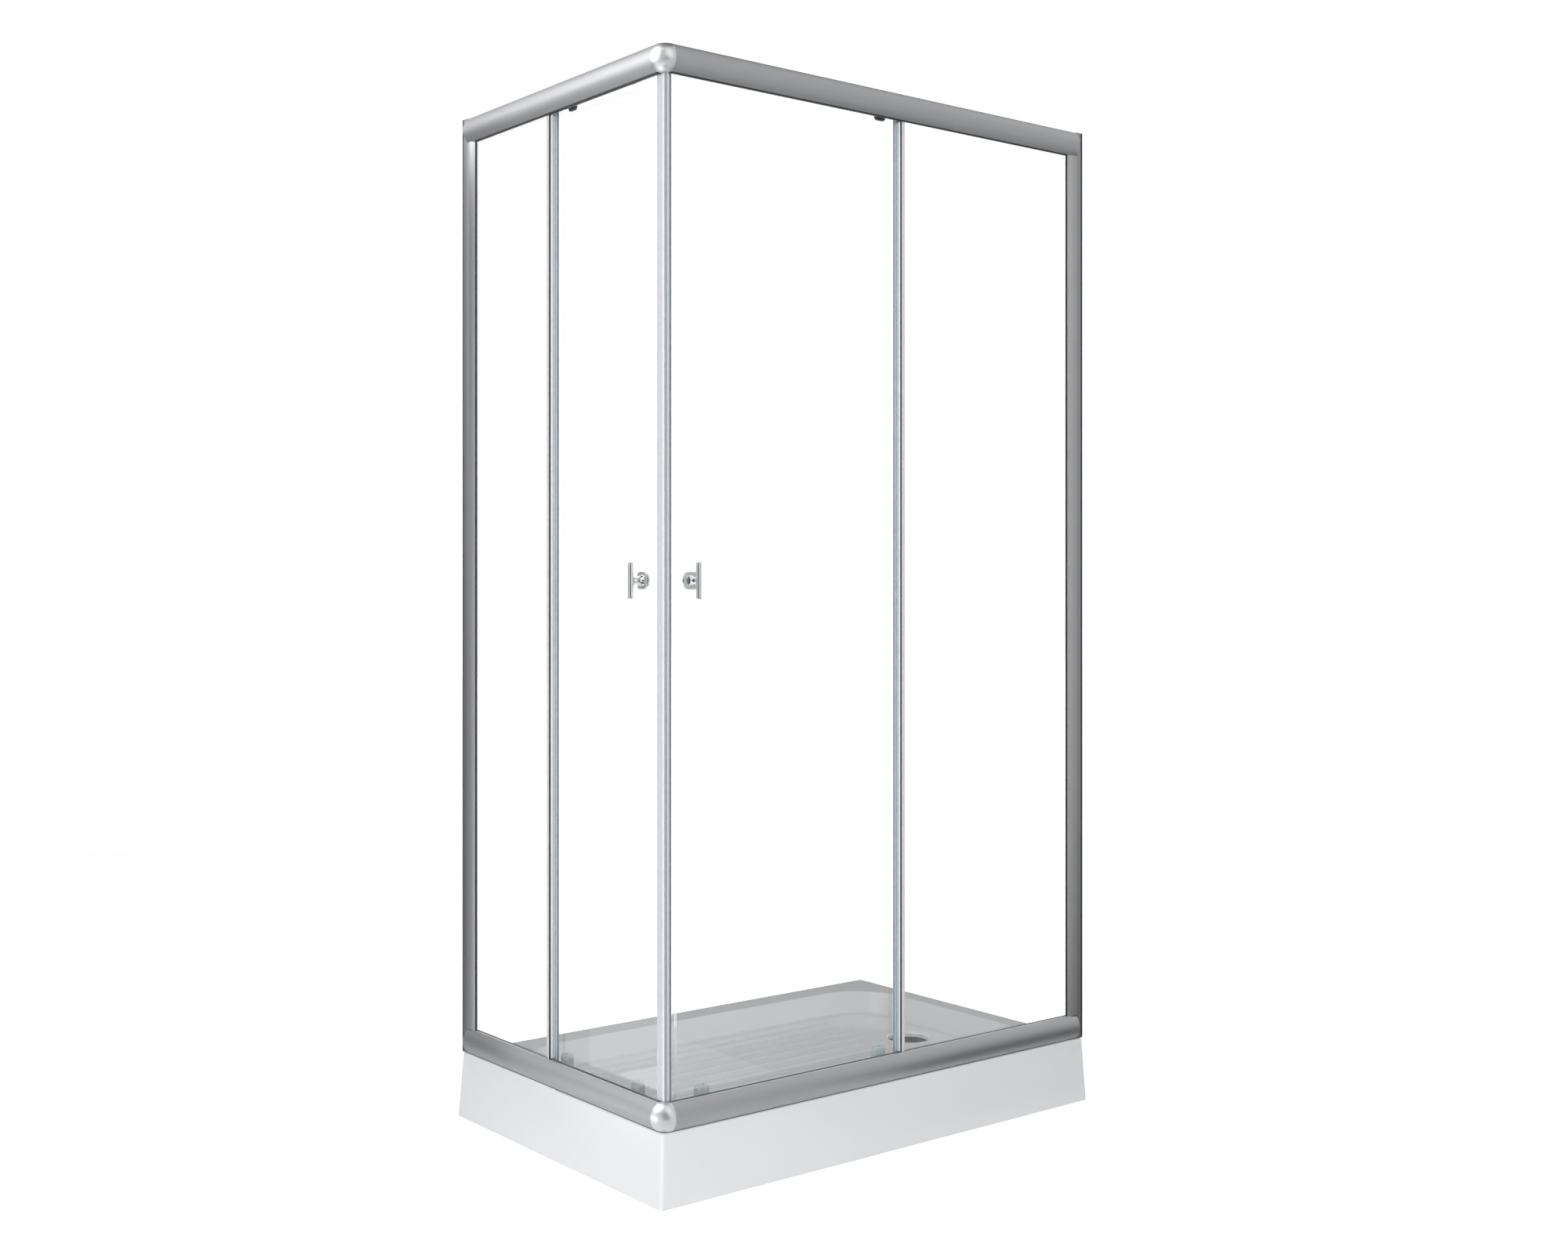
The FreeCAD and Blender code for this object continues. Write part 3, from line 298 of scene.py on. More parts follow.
moulded_finishes = {
    "foot_plastic": moulded("black_foot_plastic", (0.035, 0.035, 0.038), (0.06, 0.06, 0.064), (0.45, 0.6)),
    "black_rubber": moulded("black_rubber", (0.012, 0.012, 0.014), (0.025, 0.025, 0.027), (0.5, 0.7)),
    "base_rubber": moulded("dark_sealing_rubber", (0.10, 0.10, 0.11), (0.14, 0.14, 0.15), (0.55, 0.7)),
    "edge_profile": moulded("grey_edge_profile", (0.47, 0.53, 0.57), (0.53, 0.59, 0.63), (0.2, 0.3)),
    "clear_strip": moulded("clear_strip", (0.95, 0.96, 0.96), (0.98, 0.985, 0.985), (0.02, 0.06), clear=1.0),
    "magnet_seal": moulded("pale_magnet_seal", (0.66, 0.66, 0.68), (0.72, 0.72, 0.74), (0.35, 0.45)),
    "carrier_plastic": moulded("dark_carrier_nylon", (0.05, 0.052, 0.055), (0.08, 0.083, 0.086), (0.4, 0.55)),
    "guide_plastic": moulded("grey_guide_moulding", (0.50, 0.55, 0.57), (0.57, 0.62, 0.64), (0.22, 0.34)),
    "plunger_plastic": moulded("pale_acetal", (0.42, 0.44, 0.46), (0.50, 0.52, 0.54), (0.25, 0.4)),
    "wheel_nylon": moulded("white_nylon", (0.74, 0.74, 0.71), (0.82, 0.82, 0.79), (0.3, 0.45)),
}
print("moulded finishes", len(moulded_finishes))

# %% [markdown]
# Steel shows how it was made: zinc plate on the bars and feet has a dull cloudy spangle, stainless
# screws keep turning marks, and spring wire is bright along the drawn wire. The base board is chipboard,
# whose pressed flakes are cells of several browns.

# %% Steel and board
def steel(name, dark, light, rough, grain):
    return metal(name, dark, light, rough, grain, detail=5, relief=0.01 * mm)


def chipboard():
    material, tree, shader = new_material("chipboard", (0.50, 0.38, 0.25), 0.75)
    flakes = add(tree, "TexVoronoi", Vector=add(tree, "TexCoord")["Object"], Scale=260)
    grey = add(tree, "RGBToBW", Color=flakes["Color"])["Val"]
    vary_colour(tree, shader, grey, (0.36, 0.25, 0.15), (0.62, 0.49, 0.33))
    raise_surface(tree, shader, grey, 0.2 * mm)
    return material


steel_finishes = {
    "zinc_steel": steel("zinc_plated_steel", (0.42, 0.43, 0.44), (0.58, 0.59, 0.60), (0.3, 0.5), 120),
    "stainless": steel("stainless_steel", (0.52, 0.52, 0.53), (0.66, 0.66, 0.67), (0.18, 0.32), 1800),
    "spring_steel": steel("spring_wire", (0.40, 0.40, 0.41), (0.52, 0.52, 0.53), (0.2, 0.3), 2500),
    "board": chipboard(),
}
print("steel finishes and board", len(steel_finishes))

# %% [markdown]
# Every node carries the name of a material slot. Most slots have one finish, while the aluminium and
# the glass need the way that their piece runs or faces, which follows from the name of its side.

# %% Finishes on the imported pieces
finishes = {"acrylic": acrylic(), "connector_gloss": plated_elbow, "chrome": polished_chrome,
            **moulded_finishes, **steel_finishes}
aluminium = {way: anodised_aluminium(way) for way in profile_ways}
# The wall channels take the same aluminium, darkened to 0.8 of its brightness.
darker_channel_aluminium = anodised_aluminium("z", "darker_aluminium_", 0.8)
glass = {across: clear_glass(across) for across in "xy"}


def finish_of(node, slot):
    on_long_side = node.startswith("long")
    if slot == "clear_glass":
        return glass["y" if on_long_side else "x"]
    if node.endswith("wall_channel"):
        return darker_channel_aluminium
    if node.endswith("handle_base"):
        return satin_chrome
    if slot == "aluminium":
        upright = "wall" in node
        return aluminium["z" if upright else "x" if on_long_side else "y"]
    return finishes[slot]


def cover(obj, material):
    obj.data.materials.clear()
    obj.data.materials.append(material)


slot_of = {part["node"]: part["material_slot"] for part in frame["record"]["subparts"]}
for node, slot in slot_of.items():
    cover(nodes[node], finish_of(node, slot))
print("finished nodes", len(slot_of))

# %% [markdown]
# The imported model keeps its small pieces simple: screws without a recess, springs as tubes, wheels as
# plain rings. Finer ones take their place here. Each is drawn in the places of one side, as (along the
# side from the entry corner, inwards, up), and a matrix brings it into the frame. The short side is
# the long one with its first two axes swapped, so one function serves both, as one drawing serves a
# left-hand and a right-hand fitting.

# %% Places on the two open sides
tray_low, tray_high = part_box("shower_tray")
corner = Matrix.Translation((tray_low.x, tray_low.y, 0))
swapped = Matrix(((0, 1, 0, 0), (1, 0, 0, 0), (0, 0, 1, 0), (0, 0, 0, 1)))
side_place = {"long": corner, "short": corner @ swapped}
bodies = frame["record"]["behaviour"]["bodies"]
body_of = {node: body for body, members in bodies.items() for node in members}


def in_side(side, box):
    """The lowest and highest (along, inwards, up) of a box of the frame."""
    back = side_place[side].inverted()
    return [back @ point for point in box]


def node_box(side, node):
    return in_side(side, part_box(node))


weld_distance = 0.001 * mm


def welded(data):
    """A mesh to draw on, whose doubled points are merged."""
    mesh = bmesh.new()
    mesh.from_mesh(data)
    bmesh.ops.remove_doubles(mesh, verts=mesh.verts, dist=weld_distance)
    return mesh


def solids(node):
    """The box of each separate solid of a node."""
    mesh = welded(nodes[node].data)
    seen = set()
    found = []
    for start in mesh.verts:
        if start in seen:
            continue
        seen.add(start)
        group = [start]
        for member in group:
            for edge in member.link_edges:
                other = edge.other_vert(member)
                if other not in seen:
                    seen.add(other)
                    group.append(other)
        low = Vector([min(vert.co[axis] for vert in group) for axis in range(3)])
        high = Vector([max(vert.co[axis] for vert in group) for axis in range(3)])
        found.append((low, high))
    mesh.free()
    return found


def solid_boxes(side, node):
    return [in_side(side, box) for box in solids(node)]


print("screws counted", len(solids("frame_screws")))

# %% [markdown]
# Nearly every small piece is turned, as on a lathe: a profile of radius and height goes round an axis.
# Where the radius changes with the angle, the same routine cuts a hexagon, a cross recess or a thread,
# which a plain revolve couldn't do without a boolean for each. Strips are an outline pushed along its
# axis, and wire is a circle swept along points. `piece` then closes the mesh: it points the faces
# outwards, shades smoothly across shallow edges only, and lets the result ride where the replaced node rode.

# %% Drawing helpers
def upright(along, inward, up):
    return Matrix.Translation((along, inward, up))


def inwards(along, inward, up):
    """A place whose own Z axis points from the outside into the cabin."""
    return upright(along, inward, up) @ Matrix.Rotation(math.radians(-90), 4, "X")


def outwards(along, inward, up):
    return upright(along, inward, up) @ Matrix.Rotation(math.radians(90), 4, "X")


def at_angle(value, angle):
    return value(angle) if callable(value) else value


def skinned(mesh, rings, closed=False):
    """Lay faces between rings of corners, and over both ends unless the last ring meets the first."""
    bands = list(zip(rings, rings[1:] + rings[:1]))
    for low, high in bands if closed else bands[:-1]:
        for step in range(len(low)):
            after = (step + 1) % len(low)
            mesh.faces.new((low[step], low[after], high[after], high[step]))
    if not closed:
        mesh.faces.new(rings[0])
        mesh.faces.new(rings[-1])


def turned(mesh, profile, place, sides=48, closed=False):
    """Turn a profile of (radius, height) about the Z axis of a place. Either may follow the angle."""
    rings = []
    for radius, height in profile:
        ring = []
        for step in range(sides):
            angle = math.tau * step / sides
            reach = at_angle(radius, angle)
            point = Vector((reach * math.cos(angle), reach * math.sin(angle), at_angle(height, angle)))
            ring.append(mesh.verts.new(place @ point))
        rings.append(ring)
    skinned(mesh, rings, closed)


def quarter(radius, height, size, start, steps=4):
    """The points of a quarter round about (radius, height), from a starting angle in degrees."""
    angles = [math.radians(start + 90 * step / steps) for step in range(steps + 1)]
    return [(radius + size * math.cos(angle), height + size * math.sin(angle)) for angle in angles]


def mirrored(profile, length):
    """A profile followed by its mirror image, so that its heights run from 0 to the length."""
    def opposite(height):
        return (lambda angle: length - height(angle)) if callable(height) else length - height
    return profile + [(radius, opposite(height)) for radius, height in reversed(profile)]


def pushed(mesh, outline, place, length):
    """Push an outline of (x, y) points along the Z axis of a place."""
    skinned(mesh, [[mesh.verts.new(place @ Vector((x, y, height))) for x, y in outline]
                   for height in (0, length)])


def plain_object(mesh, name="draft"):
    """A bare object from a drawn mesh, with its faces pointing outwards."""
    bmesh.ops.recalc_face_normals(mesh, faces=mesh.faces)
    data = bpy.data.meshes.new(name)
    mesh.to_mesh(data)
    mesh.free()
    obj = bpy.data.objects.new(name, data)
    scene.collection.objects.link(obj)
    return obj


def piece(name, mesh, side, node, material=None, replaces=True, smooth=32):
    """A finished piece from a mesh drawn in a side's places, which rides as its node does."""
    bmesh.ops.transform(mesh, matrix=side_place[side], verts=mesh.verts)
    obj = plain_object(mesh, name)
    obj.data.shade_smooth()
    obj.data.set_sharp_from_angle(angle=math.radians(smooth))
    cover(obj, material or nodes[node].data.materials[0])
    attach(obj, body_of[node])
    if replaces:
        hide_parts(node)
    return obj


def eased(obj, width, angle):
    """Round the edges of a piece by a bevel, as moulding and tumbling leave them."""
    bevel = obj.modifiers.new("eased", "BEVEL")
    bevel.width = width
    bevel.segments = 2
    bevel.limit_method = "ANGLE"
    bevel.angle_limit = math.radians(angle)
    return obj


print("drawing helpers ready")

# %% [markdown]
# A hexagon, a cross and a thread are each a rule for the radius. The side of a hexagon lies at a fixed
# distance from the middle, the arms of a cross have parallel sides, and a thread is a triangle wave that
# climbs by one pitch in each turn.

# %% Recesses and threads
def hexagon(across):
    """The radius at an angle of a hexagon, from its size across the flats."""
    return lambda angle: across / 2 / math.cos(angle % math.radians(60) - math.radians(30))


def cross(reach, width):
    """The radius at an angle of a cross recess with parallel arms."""
    def radius(angle):
        turn = abs((angle + math.radians(45)) % math.radians(90) - math.radians(45))
        return width / 2 / max(math.sin(turn), width / 2 / reach)
    return radius


rings_per_turn = 6


def threaded(root, crest, pitch, start, end):
    """The rings of a thread between two heights."""
    def ring(height):
        def radius(angle):
            phase = (height / pitch - angle / math.tau) % 1
            return root + (crest - root) * (1 - abs(2 * phase - 1))
        return radius
    count = round(rings_per_turn * (end - start) / pitch)
    heights = [start + (end - start) * step / count for step in range(count + 1)]
    return [(ring(height), height) for height in heights]


print("hexagon, cross and thread ready")

# %% [markdown]
# The frame is held by small pan head screws with a cross recess. The recess and thread are real
# geometry, because both show when a door stands open. All screws of one side are one piece, as they
# come in one bag.

# %% Frame screws
screw_head = 1.9 * mm


def pan_head_screw(mesh, place, length=10.0 * mm):
    """A self-cutting screw with its seat at the place and its head along Z."""
    shank, head, height = 1.85 * mm, 3.35 * mm, screw_head
    recess = cross(1.9 * mm, 0.75 * mm)
    profile = [(0.3 * mm, -length)]
    profile += threaded(1.25 * mm, shank, 1.3 * mm, -length + 1.2 * mm, -0.4 * mm)
    profile += [(1.3 * mm, 0), (head, 0), (head, 0.5 * mm)]
    profile += quarter(head - 1.2 * mm, height - 1.2 * mm, 1.2 * mm, 20, 3)[:3]
    profile += [(head - 1.3 * mm, height), (recess, height), (recess, height - 1.1 * mm),
                (0.4 * mm, height - 1.3 * mm)]
    turned(mesh, profile, place, 32)


for side in side_place:
    screws = bmesh.new()
    for low, high in solids("frame_screws"):
        size = high - low
        if (size.y > size.x) == (side == "long"):
            low, high = in_side(side, (low, high))
            centre = (low + high) / 2
            pan_head_screw(screws, inwards(centre.x, high.y - screw_head, centre.z))
    piece(side + "_frame_screws", screws, side, "frame_screws")
print("frame screws drawn")

# %% [markdown]
# The pane bolts have a flat round head with a hexagon socket. The upper ones are driven from the
# cabin and the lower ones from outside, so each is turned to the side on which its head lies.

# %% Glass bolts
def socket_bolt(mesh, place, head, height, shank, length, key):
    socket = hexagon(key)
    depth = 0.6 * height
    profile = threaded(shank - 0.35 * mm, shank, 0.8 * mm, -length, -0.2 * mm)
    profile += [(shank - 0.35 * mm, 0), (head, 0)]
    profile += quarter(head - 0.6 * mm, height - 0.6 * mm, 0.6 * mm, 0)
    profile += [(key * 0.62, height), (socket, height - 0.15 * mm), (socket, height - depth),
                (0.3 * mm, height - depth - 0.2 * mm)]
    turned(mesh, profile, place, 48)


bolt_head = 2.5 * mm
half_way_up = 1.0
for side in side_place:
    bolts = bmesh.new()
    for low, high in solid_boxes(side, side + "_glass_bolts"):
        centre = (low + high) / 2
        place = outwards(centre.x, low.y + bolt_head, centre.z)
        if centre.z > half_way_up:
            place = inwards(centre.x, high.y - bolt_head, centre.z)
        socket_bolt(bolts, place, head=6.0 * mm, height=bolt_head, shank=2.45 * mm, length=9.0 * mm,
                    key=4.0 * mm)
    piece(side + "_socket_bolts", bolts, side, side + "_glass_bolts")
print("glass bolts drawn")

# %% [markdown]
# The top wheels turn on shoulder bolts. Their round heads, 9 mm across, sit on the outer face of the
# hanger plates, and the journal ends just past the wheel.

# %% Top axles
for side in side_place:
    axles = bmesh.new()
    for low, high in solid_boxes(side, side + "_top_axles"):
        centre = (low + high) / 2
        head, shoulder, journal = 4.5 * mm, 4.0 * mm, 2.45 * mm
        shoulder_start, shoulder_end = -7.4 * mm, -3.8 * mm
        chamfer, dome, head_height = 0.4 * mm, 0.9 * mm, 1.8 * mm
        seat = low.y + head_height
        length = high.y - seat
        recess = cross(2.3 * mm, 0.9 * mm)
        profile = [(journal - chamfer, -length), (journal, -length + chamfer), (journal, shoulder_start),
                   (shoulder, shoulder_start), (shoulder, shoulder_end), (journal, shoulder_end),
                   (journal, 0), (head, 0)]
        profile += quarter(head - dome, dome, dome, 0)
        profile += [(recess, head_height), (recess, 0.8 * mm), (0.3 * mm, 0.6 * mm)]
        turned(axles, profile, outwards(centre.x, seat, centre.z), 40)
    piece(side + "_shoulder_bolts", axles, side, side + "_top_axles")
print("shoulder bolts drawn")

# %% [markdown]
# Every wheel is a nylon tyre pressed on a small steel ball bearing. The tyre has a groove for the bead of
# the rail, rounded flanges and six lightening pockets between hub and rim. Tyre and bearing are two
# pieces, because they are two materials and would come apart on a bench.

# %% Wheels
def pocketed(angle):
    """The depth of the six pockets of a tyre, with a rib between each two."""
    from_rib = abs(angle % math.radians(60) - math.radians(30))
    return 1.0 * mm if from_rib > math.radians(8) else 0


def wheel_tyre(mesh, place, rim, groove, hub, width):
    ease = 0.55 * mm
    lip = width / 2 - 1.4 * mm
    inner, outer = hub + 1.1 * mm, groove - 0.9 * mm
    profile = [(hub, 0), (inner, 0), (inner + 0.1 * mm, pocketed), (outer - 0.1 * mm, pocketed),
               (outer, 0)]
    profile += quarter(rim - ease, ease, ease, -90)
    profile += [(rim, lip - 0.3 * mm), (rim - 0.3 * mm, lip), (groove + 0.4 * mm, lip + 0.05 * mm),
                (groove, lip + 0.35 * mm)]
    turned(mesh, mirrored(profile, width), place, 60, closed=True)


def ball_bearing(mesh, place, bore, outer, width):
    """Two steel rings with a recessed shield between them."""
    ring = (outer - bore) * 0.28
    face, shield = 0.35 * mm, 0.75 * mm
    profile = [(bore, face), (bore + ring, face), (bore + ring, shield), (outer - ring, shield),
               (outer - ring, face), (outer, face)]
    turned(mesh, mirrored(profile, width), place, 48, closed=True)


wheel_groove = {"top": 2.0 * mm, "lower": 1.5 * mm}
bearing_size = {"top": 6.2 * mm, "lower": 5.2 * mm}
axle_bore = 2.55 * mm
wheels = [name for name in nodes if name.endswith("_wheel")]
for node in wheels:
    side = node.split("_")[0]
    level = "top" if "_top_" in node else "lower"
    low, high = node_box(side, node)
    centre = (low + high) / 2
    rim = (high.z - low.z) / 2
    place = inwards(centre.x, low.y, centre.z)
    tyre = bmesh.new()
    wheel_tyre(tyre, place, rim, rim - wheel_groove[level], bearing_size[level], high.y - low.y)
    piece(node + "_tyre", tyre, side, node)
    bearing = bmesh.new()
    ball_bearing(bearing, place, axle_bore, bearing_size[level] + 0.02 * mm, high.y - low.y)
    race = piece(node + "_bearing", bearing, side, node, finishes["stainless"])
print("wheels drawn", len(wheels))

# %% [markdown]
# A release spring is a coil of steel wire with closed ends. The wire follows a helix whose climb stops
# at both ends. It shortens when its button is pressed.

# %% Release springs
def wire(mesh, points, radius, sides=10):
    """A round wire along points, whose rings keep turning with the path."""
    rings = []
    normal = Vector((0, 0, 1))
    angles = [math.tau * step / sides for step in range(sides)]
    for index, point in enumerate(points):
        ahead = points[min(index + 1, len(points) - 1)] - points[max(index - 1, 0)]
        across = ahead.cross(normal).normalized()
        over = across.cross(ahead).normalized()
        rings.append([mesh.verts.new(point + radius * (math.cos(angle) * across + math.sin(angle) * over))
                      for angle in angles])
    skinned(mesh, rings)


def coil_points(low, high, wire_radius, turns=6.0, steps=24):
    """A helix inside a box, with its first and last turn closed."""
    centre = (low + high) / 2
    radius = (high.x - low.x) / 2 - wire_radius
    thickness = 2 * wire_radius
    climb = high.z - low.z - 3 * thickness
    points = []
    for index in range(round(turns * steps) + 1):
        turn = index / steps
        lift = thickness * (min(turn, 1) + max(turn - turns + 1, 0))
        lift += climb * min(max(turn - 1, 0), turns - 2) / (turns - 2)
        angle = math.tau * turn
        points.append(Vector((centre.x + radius * math.cos(angle), centre.y + radius * math.sin(angle),
                              low.z + wire_radius + lift)))
    return points


spring_wire = 0.38 * mm
springs = [name for name in nodes if name.endswith("_release_spring")]
for node in springs:
    side = node.split("_")[0]
    low, high = node_box(side, node)
    coil = bmesh.new()
    wire(coil, coil_points(low, high, spring_wire), spring_wire)
    spring = piece(node + "_coil", coil, side, node, smooth=60)
    centre = (low + high) / 2
    seat = side_place[side] @ Vector((centre.x, centre.y, low.z))
    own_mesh(spring)
print("springs drawn", len(springs))

# %% [markdown]
# A foot is a threaded stud in a ribbed plastic pad, locked under the bar by a chamfered nut. The chamfer
# comes from taking the smaller of the hexagon and a cone, which is just how a real nut is turned.

# %% Adjustable feet
def foot_pad(mesh, place, height):
    rim, collar, stud = 22 * mm, 10 * mm, 5.05 * mm

    def grip(angle):
        return rim - 0.45 * mm * (1 - abs(math.cos(18 * angle)))

    def sweep(share):
        """The hollow flank, with twelve ribs that keep to a straight slope."""
        flank = collar + (rim - 1.5 * mm - collar) * (1 - share) ** 3
        rib = collar + (rim - 2.5 * mm - collar) * (1 - share)
        return lambda angle: rib if angle % math.radians(30) < math.radians(7) else flank

    profile = [(18 * mm, 0), (rim - 1.2 * mm, 0), (grip, 1.0 * mm), (grip, 3.6 * mm),
               (rim - 1.0 * mm, 4.5 * mm)]
    profile += [(sweep(step / 8), (4.5 + 7.5 * step / 8) * mm) for step in range(9)]
    profile += [(collar, 13.2 * mm), (collar - 0.8 * mm, height), (stud, height), (stud, 9.2 * mm),
                (0.5 * mm, 9.2 * mm)]
    turned(mesh, profile, place, 72)


def foot_nut(mesh, place, height):
    across, bore = 17 * mm, 5.05 * mm
    flats = hexagon(across)

    def chamfered(depth):
        return lambda angle: min(flats(angle), across / 2 - 0.1 * mm + 1.8 * depth)

    depths = [0, 0.25 * mm, 0.5 * mm, 0.8 * mm]
    profile = [(bore, 0)] + [(chamfered(depth), depth) for depth in depths]
    turned(mesh, mirrored(profile, height), place, 72, closed=True)


def foot_stud(mesh, place, height):
    end, chamfer = 3.9 * mm, 0.6 * mm
    thread = threaded(4.35 * mm, 4.98 * mm, 1.5 * mm, chamfer, height - chamfer)
    turned(mesh, [(end, 0)] + thread + [(end, height)], place, 24)


foot_drawings = {"tray_foot_pads": foot_pad, "tray_foot_studs": foot_stud, "tray_foot_nuts": foot_nut}
for node, draw in foot_drawings.items():
    mesh = bmesh.new()
    for low, high in solid_boxes("long", node):
        centre = (low + high) / 2
        draw(mesh, upright(centre.x, centre.y, low.z), high.z - low.z)
    piece(node + "_detailed", mesh, "long", node)
print("feet drawn", len(solids("tray_foot_pads")))

# %% [markdown]
# Each door is pulled by a chrome bar on a waisted stem, which is tall where it carries the bar, slim in
# the middle and flared at the glass. Such a shape is neither a cylinder nor a cone, so its rings are
# ellipses whose two half sizes change on the way. Bar and stem are cast as one, so a boolean joins them.

# %% Handles
def ellipse(half_width, half_height):
    def radius(angle):
        slant = math.hypot(half_height * math.cos(angle), half_width * math.sin(angle))
        return half_width * half_height / slant
    return radius


def joined_by(mesh, other_mesh, way):
    """Join or cut one mesh by another."""
    obj, other = plain_object(mesh), plain_object(other_mesh)
    join = obj.modifiers.new("joined", "BOOLEAN")
    join.operation = way
    join.object = other
    join.solver = "EXACT"
    bpy.context.view_layer.update()
    result = bpy.data.meshes.new_from_object(obj.evaluated_get(bpy.context.evaluated_depsgraph_get()))
    bpy.data.objects.remove(obj)
    bpy.data.objects.remove(other)
    return welded(result)


def grip_bar(mesh, place, radius, length):
    """A round bar with domed ends and a fine ring cut near each end."""
    half = length / 2
    ring = 0.25 * mm
    end = [(radius, half - 4.4 * mm), (radius - ring, half - 4.1 * mm), (radius, half - 3.8 * mm)]
    dome = quarter(radius - 1.6 * mm, half - 1.6 * mm, 1.6 * mm, 0, 5)
    upper = end + dome + [(0.4 * mm, half)]
    lower = [(size, -height) for size, height in reversed(upper)]
    turned(mesh, lower + upper, place, 48)


bar_radius = 5.5 * mm
stem_rings = [(7.0, 5.0, 9.4), (11.0, 5.2, 9.3), (13.5, 5.8, 8.6), (16.0, 6.6, 7.7), (19.0, 7.2, 7.3),
              (22.0, 7.7, 7.8), (25.0, 8.6, 8.8), (27.0, 9.5, 9.7), (28.4, 10.4, 10.5), (29.0, 10.6, 10.7),
              (30.0, 10.6, 10.7)]
for side in side_place:
    low, high = node_box(side, side + "_handle_grip")
    centre = (low + high) / 2
    bar = bmesh.new()
    grip_bar(bar, upright(centre.x, low.y + bar_radius, centre.z), bar_radius, high.z - low.z)
    stem = bmesh.new()
    profile = [(ellipse(width * mm, height * mm), depth * mm) for depth, width, height in stem_rings]
    profile += [(4.1 * mm, 30 * mm), (4.1 * mm, 19 * mm), (0.5 * mm, 18 * mm)]
    turned(stem, profile, inwards(centre.x, 0, centre.z), 64)
    grip = joined_by(bar, stem, "UNION")
    eased(piece(side + "_pull_handle", grip, side, side + "_handle_grip", smooth=28), 0.35 * mm, angle=50)
print("handles drawn")

# %% [markdown]
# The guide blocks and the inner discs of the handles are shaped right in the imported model, and only lack
# the moulder's work: thin walls. Thick plastic sinks as it cools, so such a block has a sunk panel
# on its face and slots at its back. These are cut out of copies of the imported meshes.

# %% Carved blocks
def facing(along, inward, up):
    """A place whose X runs along the side, Y up and Z inwards."""
    turn = Matrix(((1, 0, 0, 0), (0, 0, 1, 0), (0, 1, 0, 0), (0, 0, 0, 1)))
    return upright(along, inward, up) @ turn


def arch(half, foot, crown, radius, steps=8):
    """The outline of an upright panel with a round head."""
    right = quarter(half - radius, crown - radius, radius, 0, steps)
    return [(-half, foot), (half, foot)] + right + [(-x, y) for x, y in reversed(right)]


def copy_in_side(node, side):
    """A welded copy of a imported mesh, in the places of its side."""
    mesh = welded(nodes[node].data)
    bmesh.ops.transform(mesh, matrix=side_place[side].inverted(), verts=mesh.verts)
    return mesh


def block_pockets(mesh, low, high):
    """The sunk panel on the face of a guide block and the slots in its back."""
    centre = (low.x + high.x) / 2
    half = (high.x - low.x) / 2
    height = high.z - low.z
    rim, panel, slot = 3.4 * mm, 0.9 * mm, 2.0 * mm
    pushed(mesh, arch(half - rim, rim, height - rim, 4.8 * mm),
           facing(centre, low.y - panel, low.z), 2 * panel)
    for step in (-1, 1):
        pushed(mesh, arch(1.8 * mm, 5 * mm, height - 6 * mm, 1.7 * mm),
               facing(centre + step * 9.2 * mm, high.y - slot, low.z), 2 * slot)


slot_depth = 1.2 * mm
for side in side_place:
    node = side + "_lower_housings"
    pockets = bmesh.new()
    for low, high in solid_boxes(side, node):
        block_pockets(pockets, low, high)
    blocks = joined_by(copy_in_side(node, side), pockets, "DIFFERENCE")
    eased(piece(side + "_guide_blocks", blocks, side, node, smooth=28), 0.3 * mm, angle=50)
    node = side + "_handle_back_plate"
    low, high = node_box(side, node)
    centre = (low + high) / 2
    slot = bmesh.new()
    pushed(slot, arch(7 * mm, -0.9 * mm, 0.9 * mm, 0.85 * mm),
           facing(centre.x, high.y - slot_depth, centre.z), 2 * slot_depth)
    disc = joined_by(copy_in_side(node, side), slot, "DIFFERENCE")
    piece(side + "_handle_back_disc", disc, side, node, smooth=28)
print("blocks carved")

# %% [markdown]
# The upright seals are extruded strips, and each is really several materials in one: soft lips, a stiff
# sleeve and, at the corner, a magnetic strip. Between the panes they give thin lines of white, grey and
# black. Some of these lines are painted light: the white strip at the corner is a painted highlight, the
# dim strip at the long head's rear edge is painted shade in its groove, and the black bead on the fixed
# pane's edge is a painted shadow. Each strip is drawn as its own outline, seen from above, and pushed up.

# %% Upright seals
def strip(name, outline, low, high, side, node, material, replaces=True, ease=0.35 * mm):
    """An upright strip with eased corners, from an outline of (along, inwards) points."""
    mesh = bmesh.new()
    pushed(mesh, outline, upright(0, 0, low), high - low)
    obj = eased(piece(name, mesh, side, node, material, replaces, smooth=50), ease, angle=30)
    return obj


def rectangle(start, end, front, back):
    return [(start, front), (end, front), (end, back), (start, back)]


# The white seal material is the seal's own white on the fixed edge sleeve, and a painted highlight in the
# short head.
seal_finishes = {
    "white": moulded("white_seal_and_painted_highlight", (0.80, 0.80, 0.82), (0.86, 0.86, 0.88), (0.3, 0.4)),
    "pale": moulded("pale_seal_profile", (0.62, 0.62, 0.66), (0.67, 0.67, 0.71), (0.3, 0.4)),
    "grey": moulded("magnetic_strip", (0.36, 0.37, 0.41), (0.41, 0.42, 0.46), (0.35, 0.45)),
    "dim": moulded("painted_groove_shade", (0.20, 0.21, 0.23), (0.26, 0.27, 0.29), (0.4, 0.5)),
}
# The white strip at the corner of the short head is a painted highlight on the seal's rounded ridge. The dim
# strip at the end of the long head is painted shade in the groove at its rear edge.
head_strips = {"short": [(6.5, "white"), (17.25, "pale")],
               "long": [(5.2, "grey"), (4.9, "pale"), (4.65, "dim")]}
mitre_gap = 0.25 * mm
head_depth = 8.2 * mm
head_clearance = 0.5 * mm
sleeve_depth = 8.2 * mm
sleeve_wall = 1.5 * mm
pane_lap = 1.4 * mm
corner_zone = 100 * mm
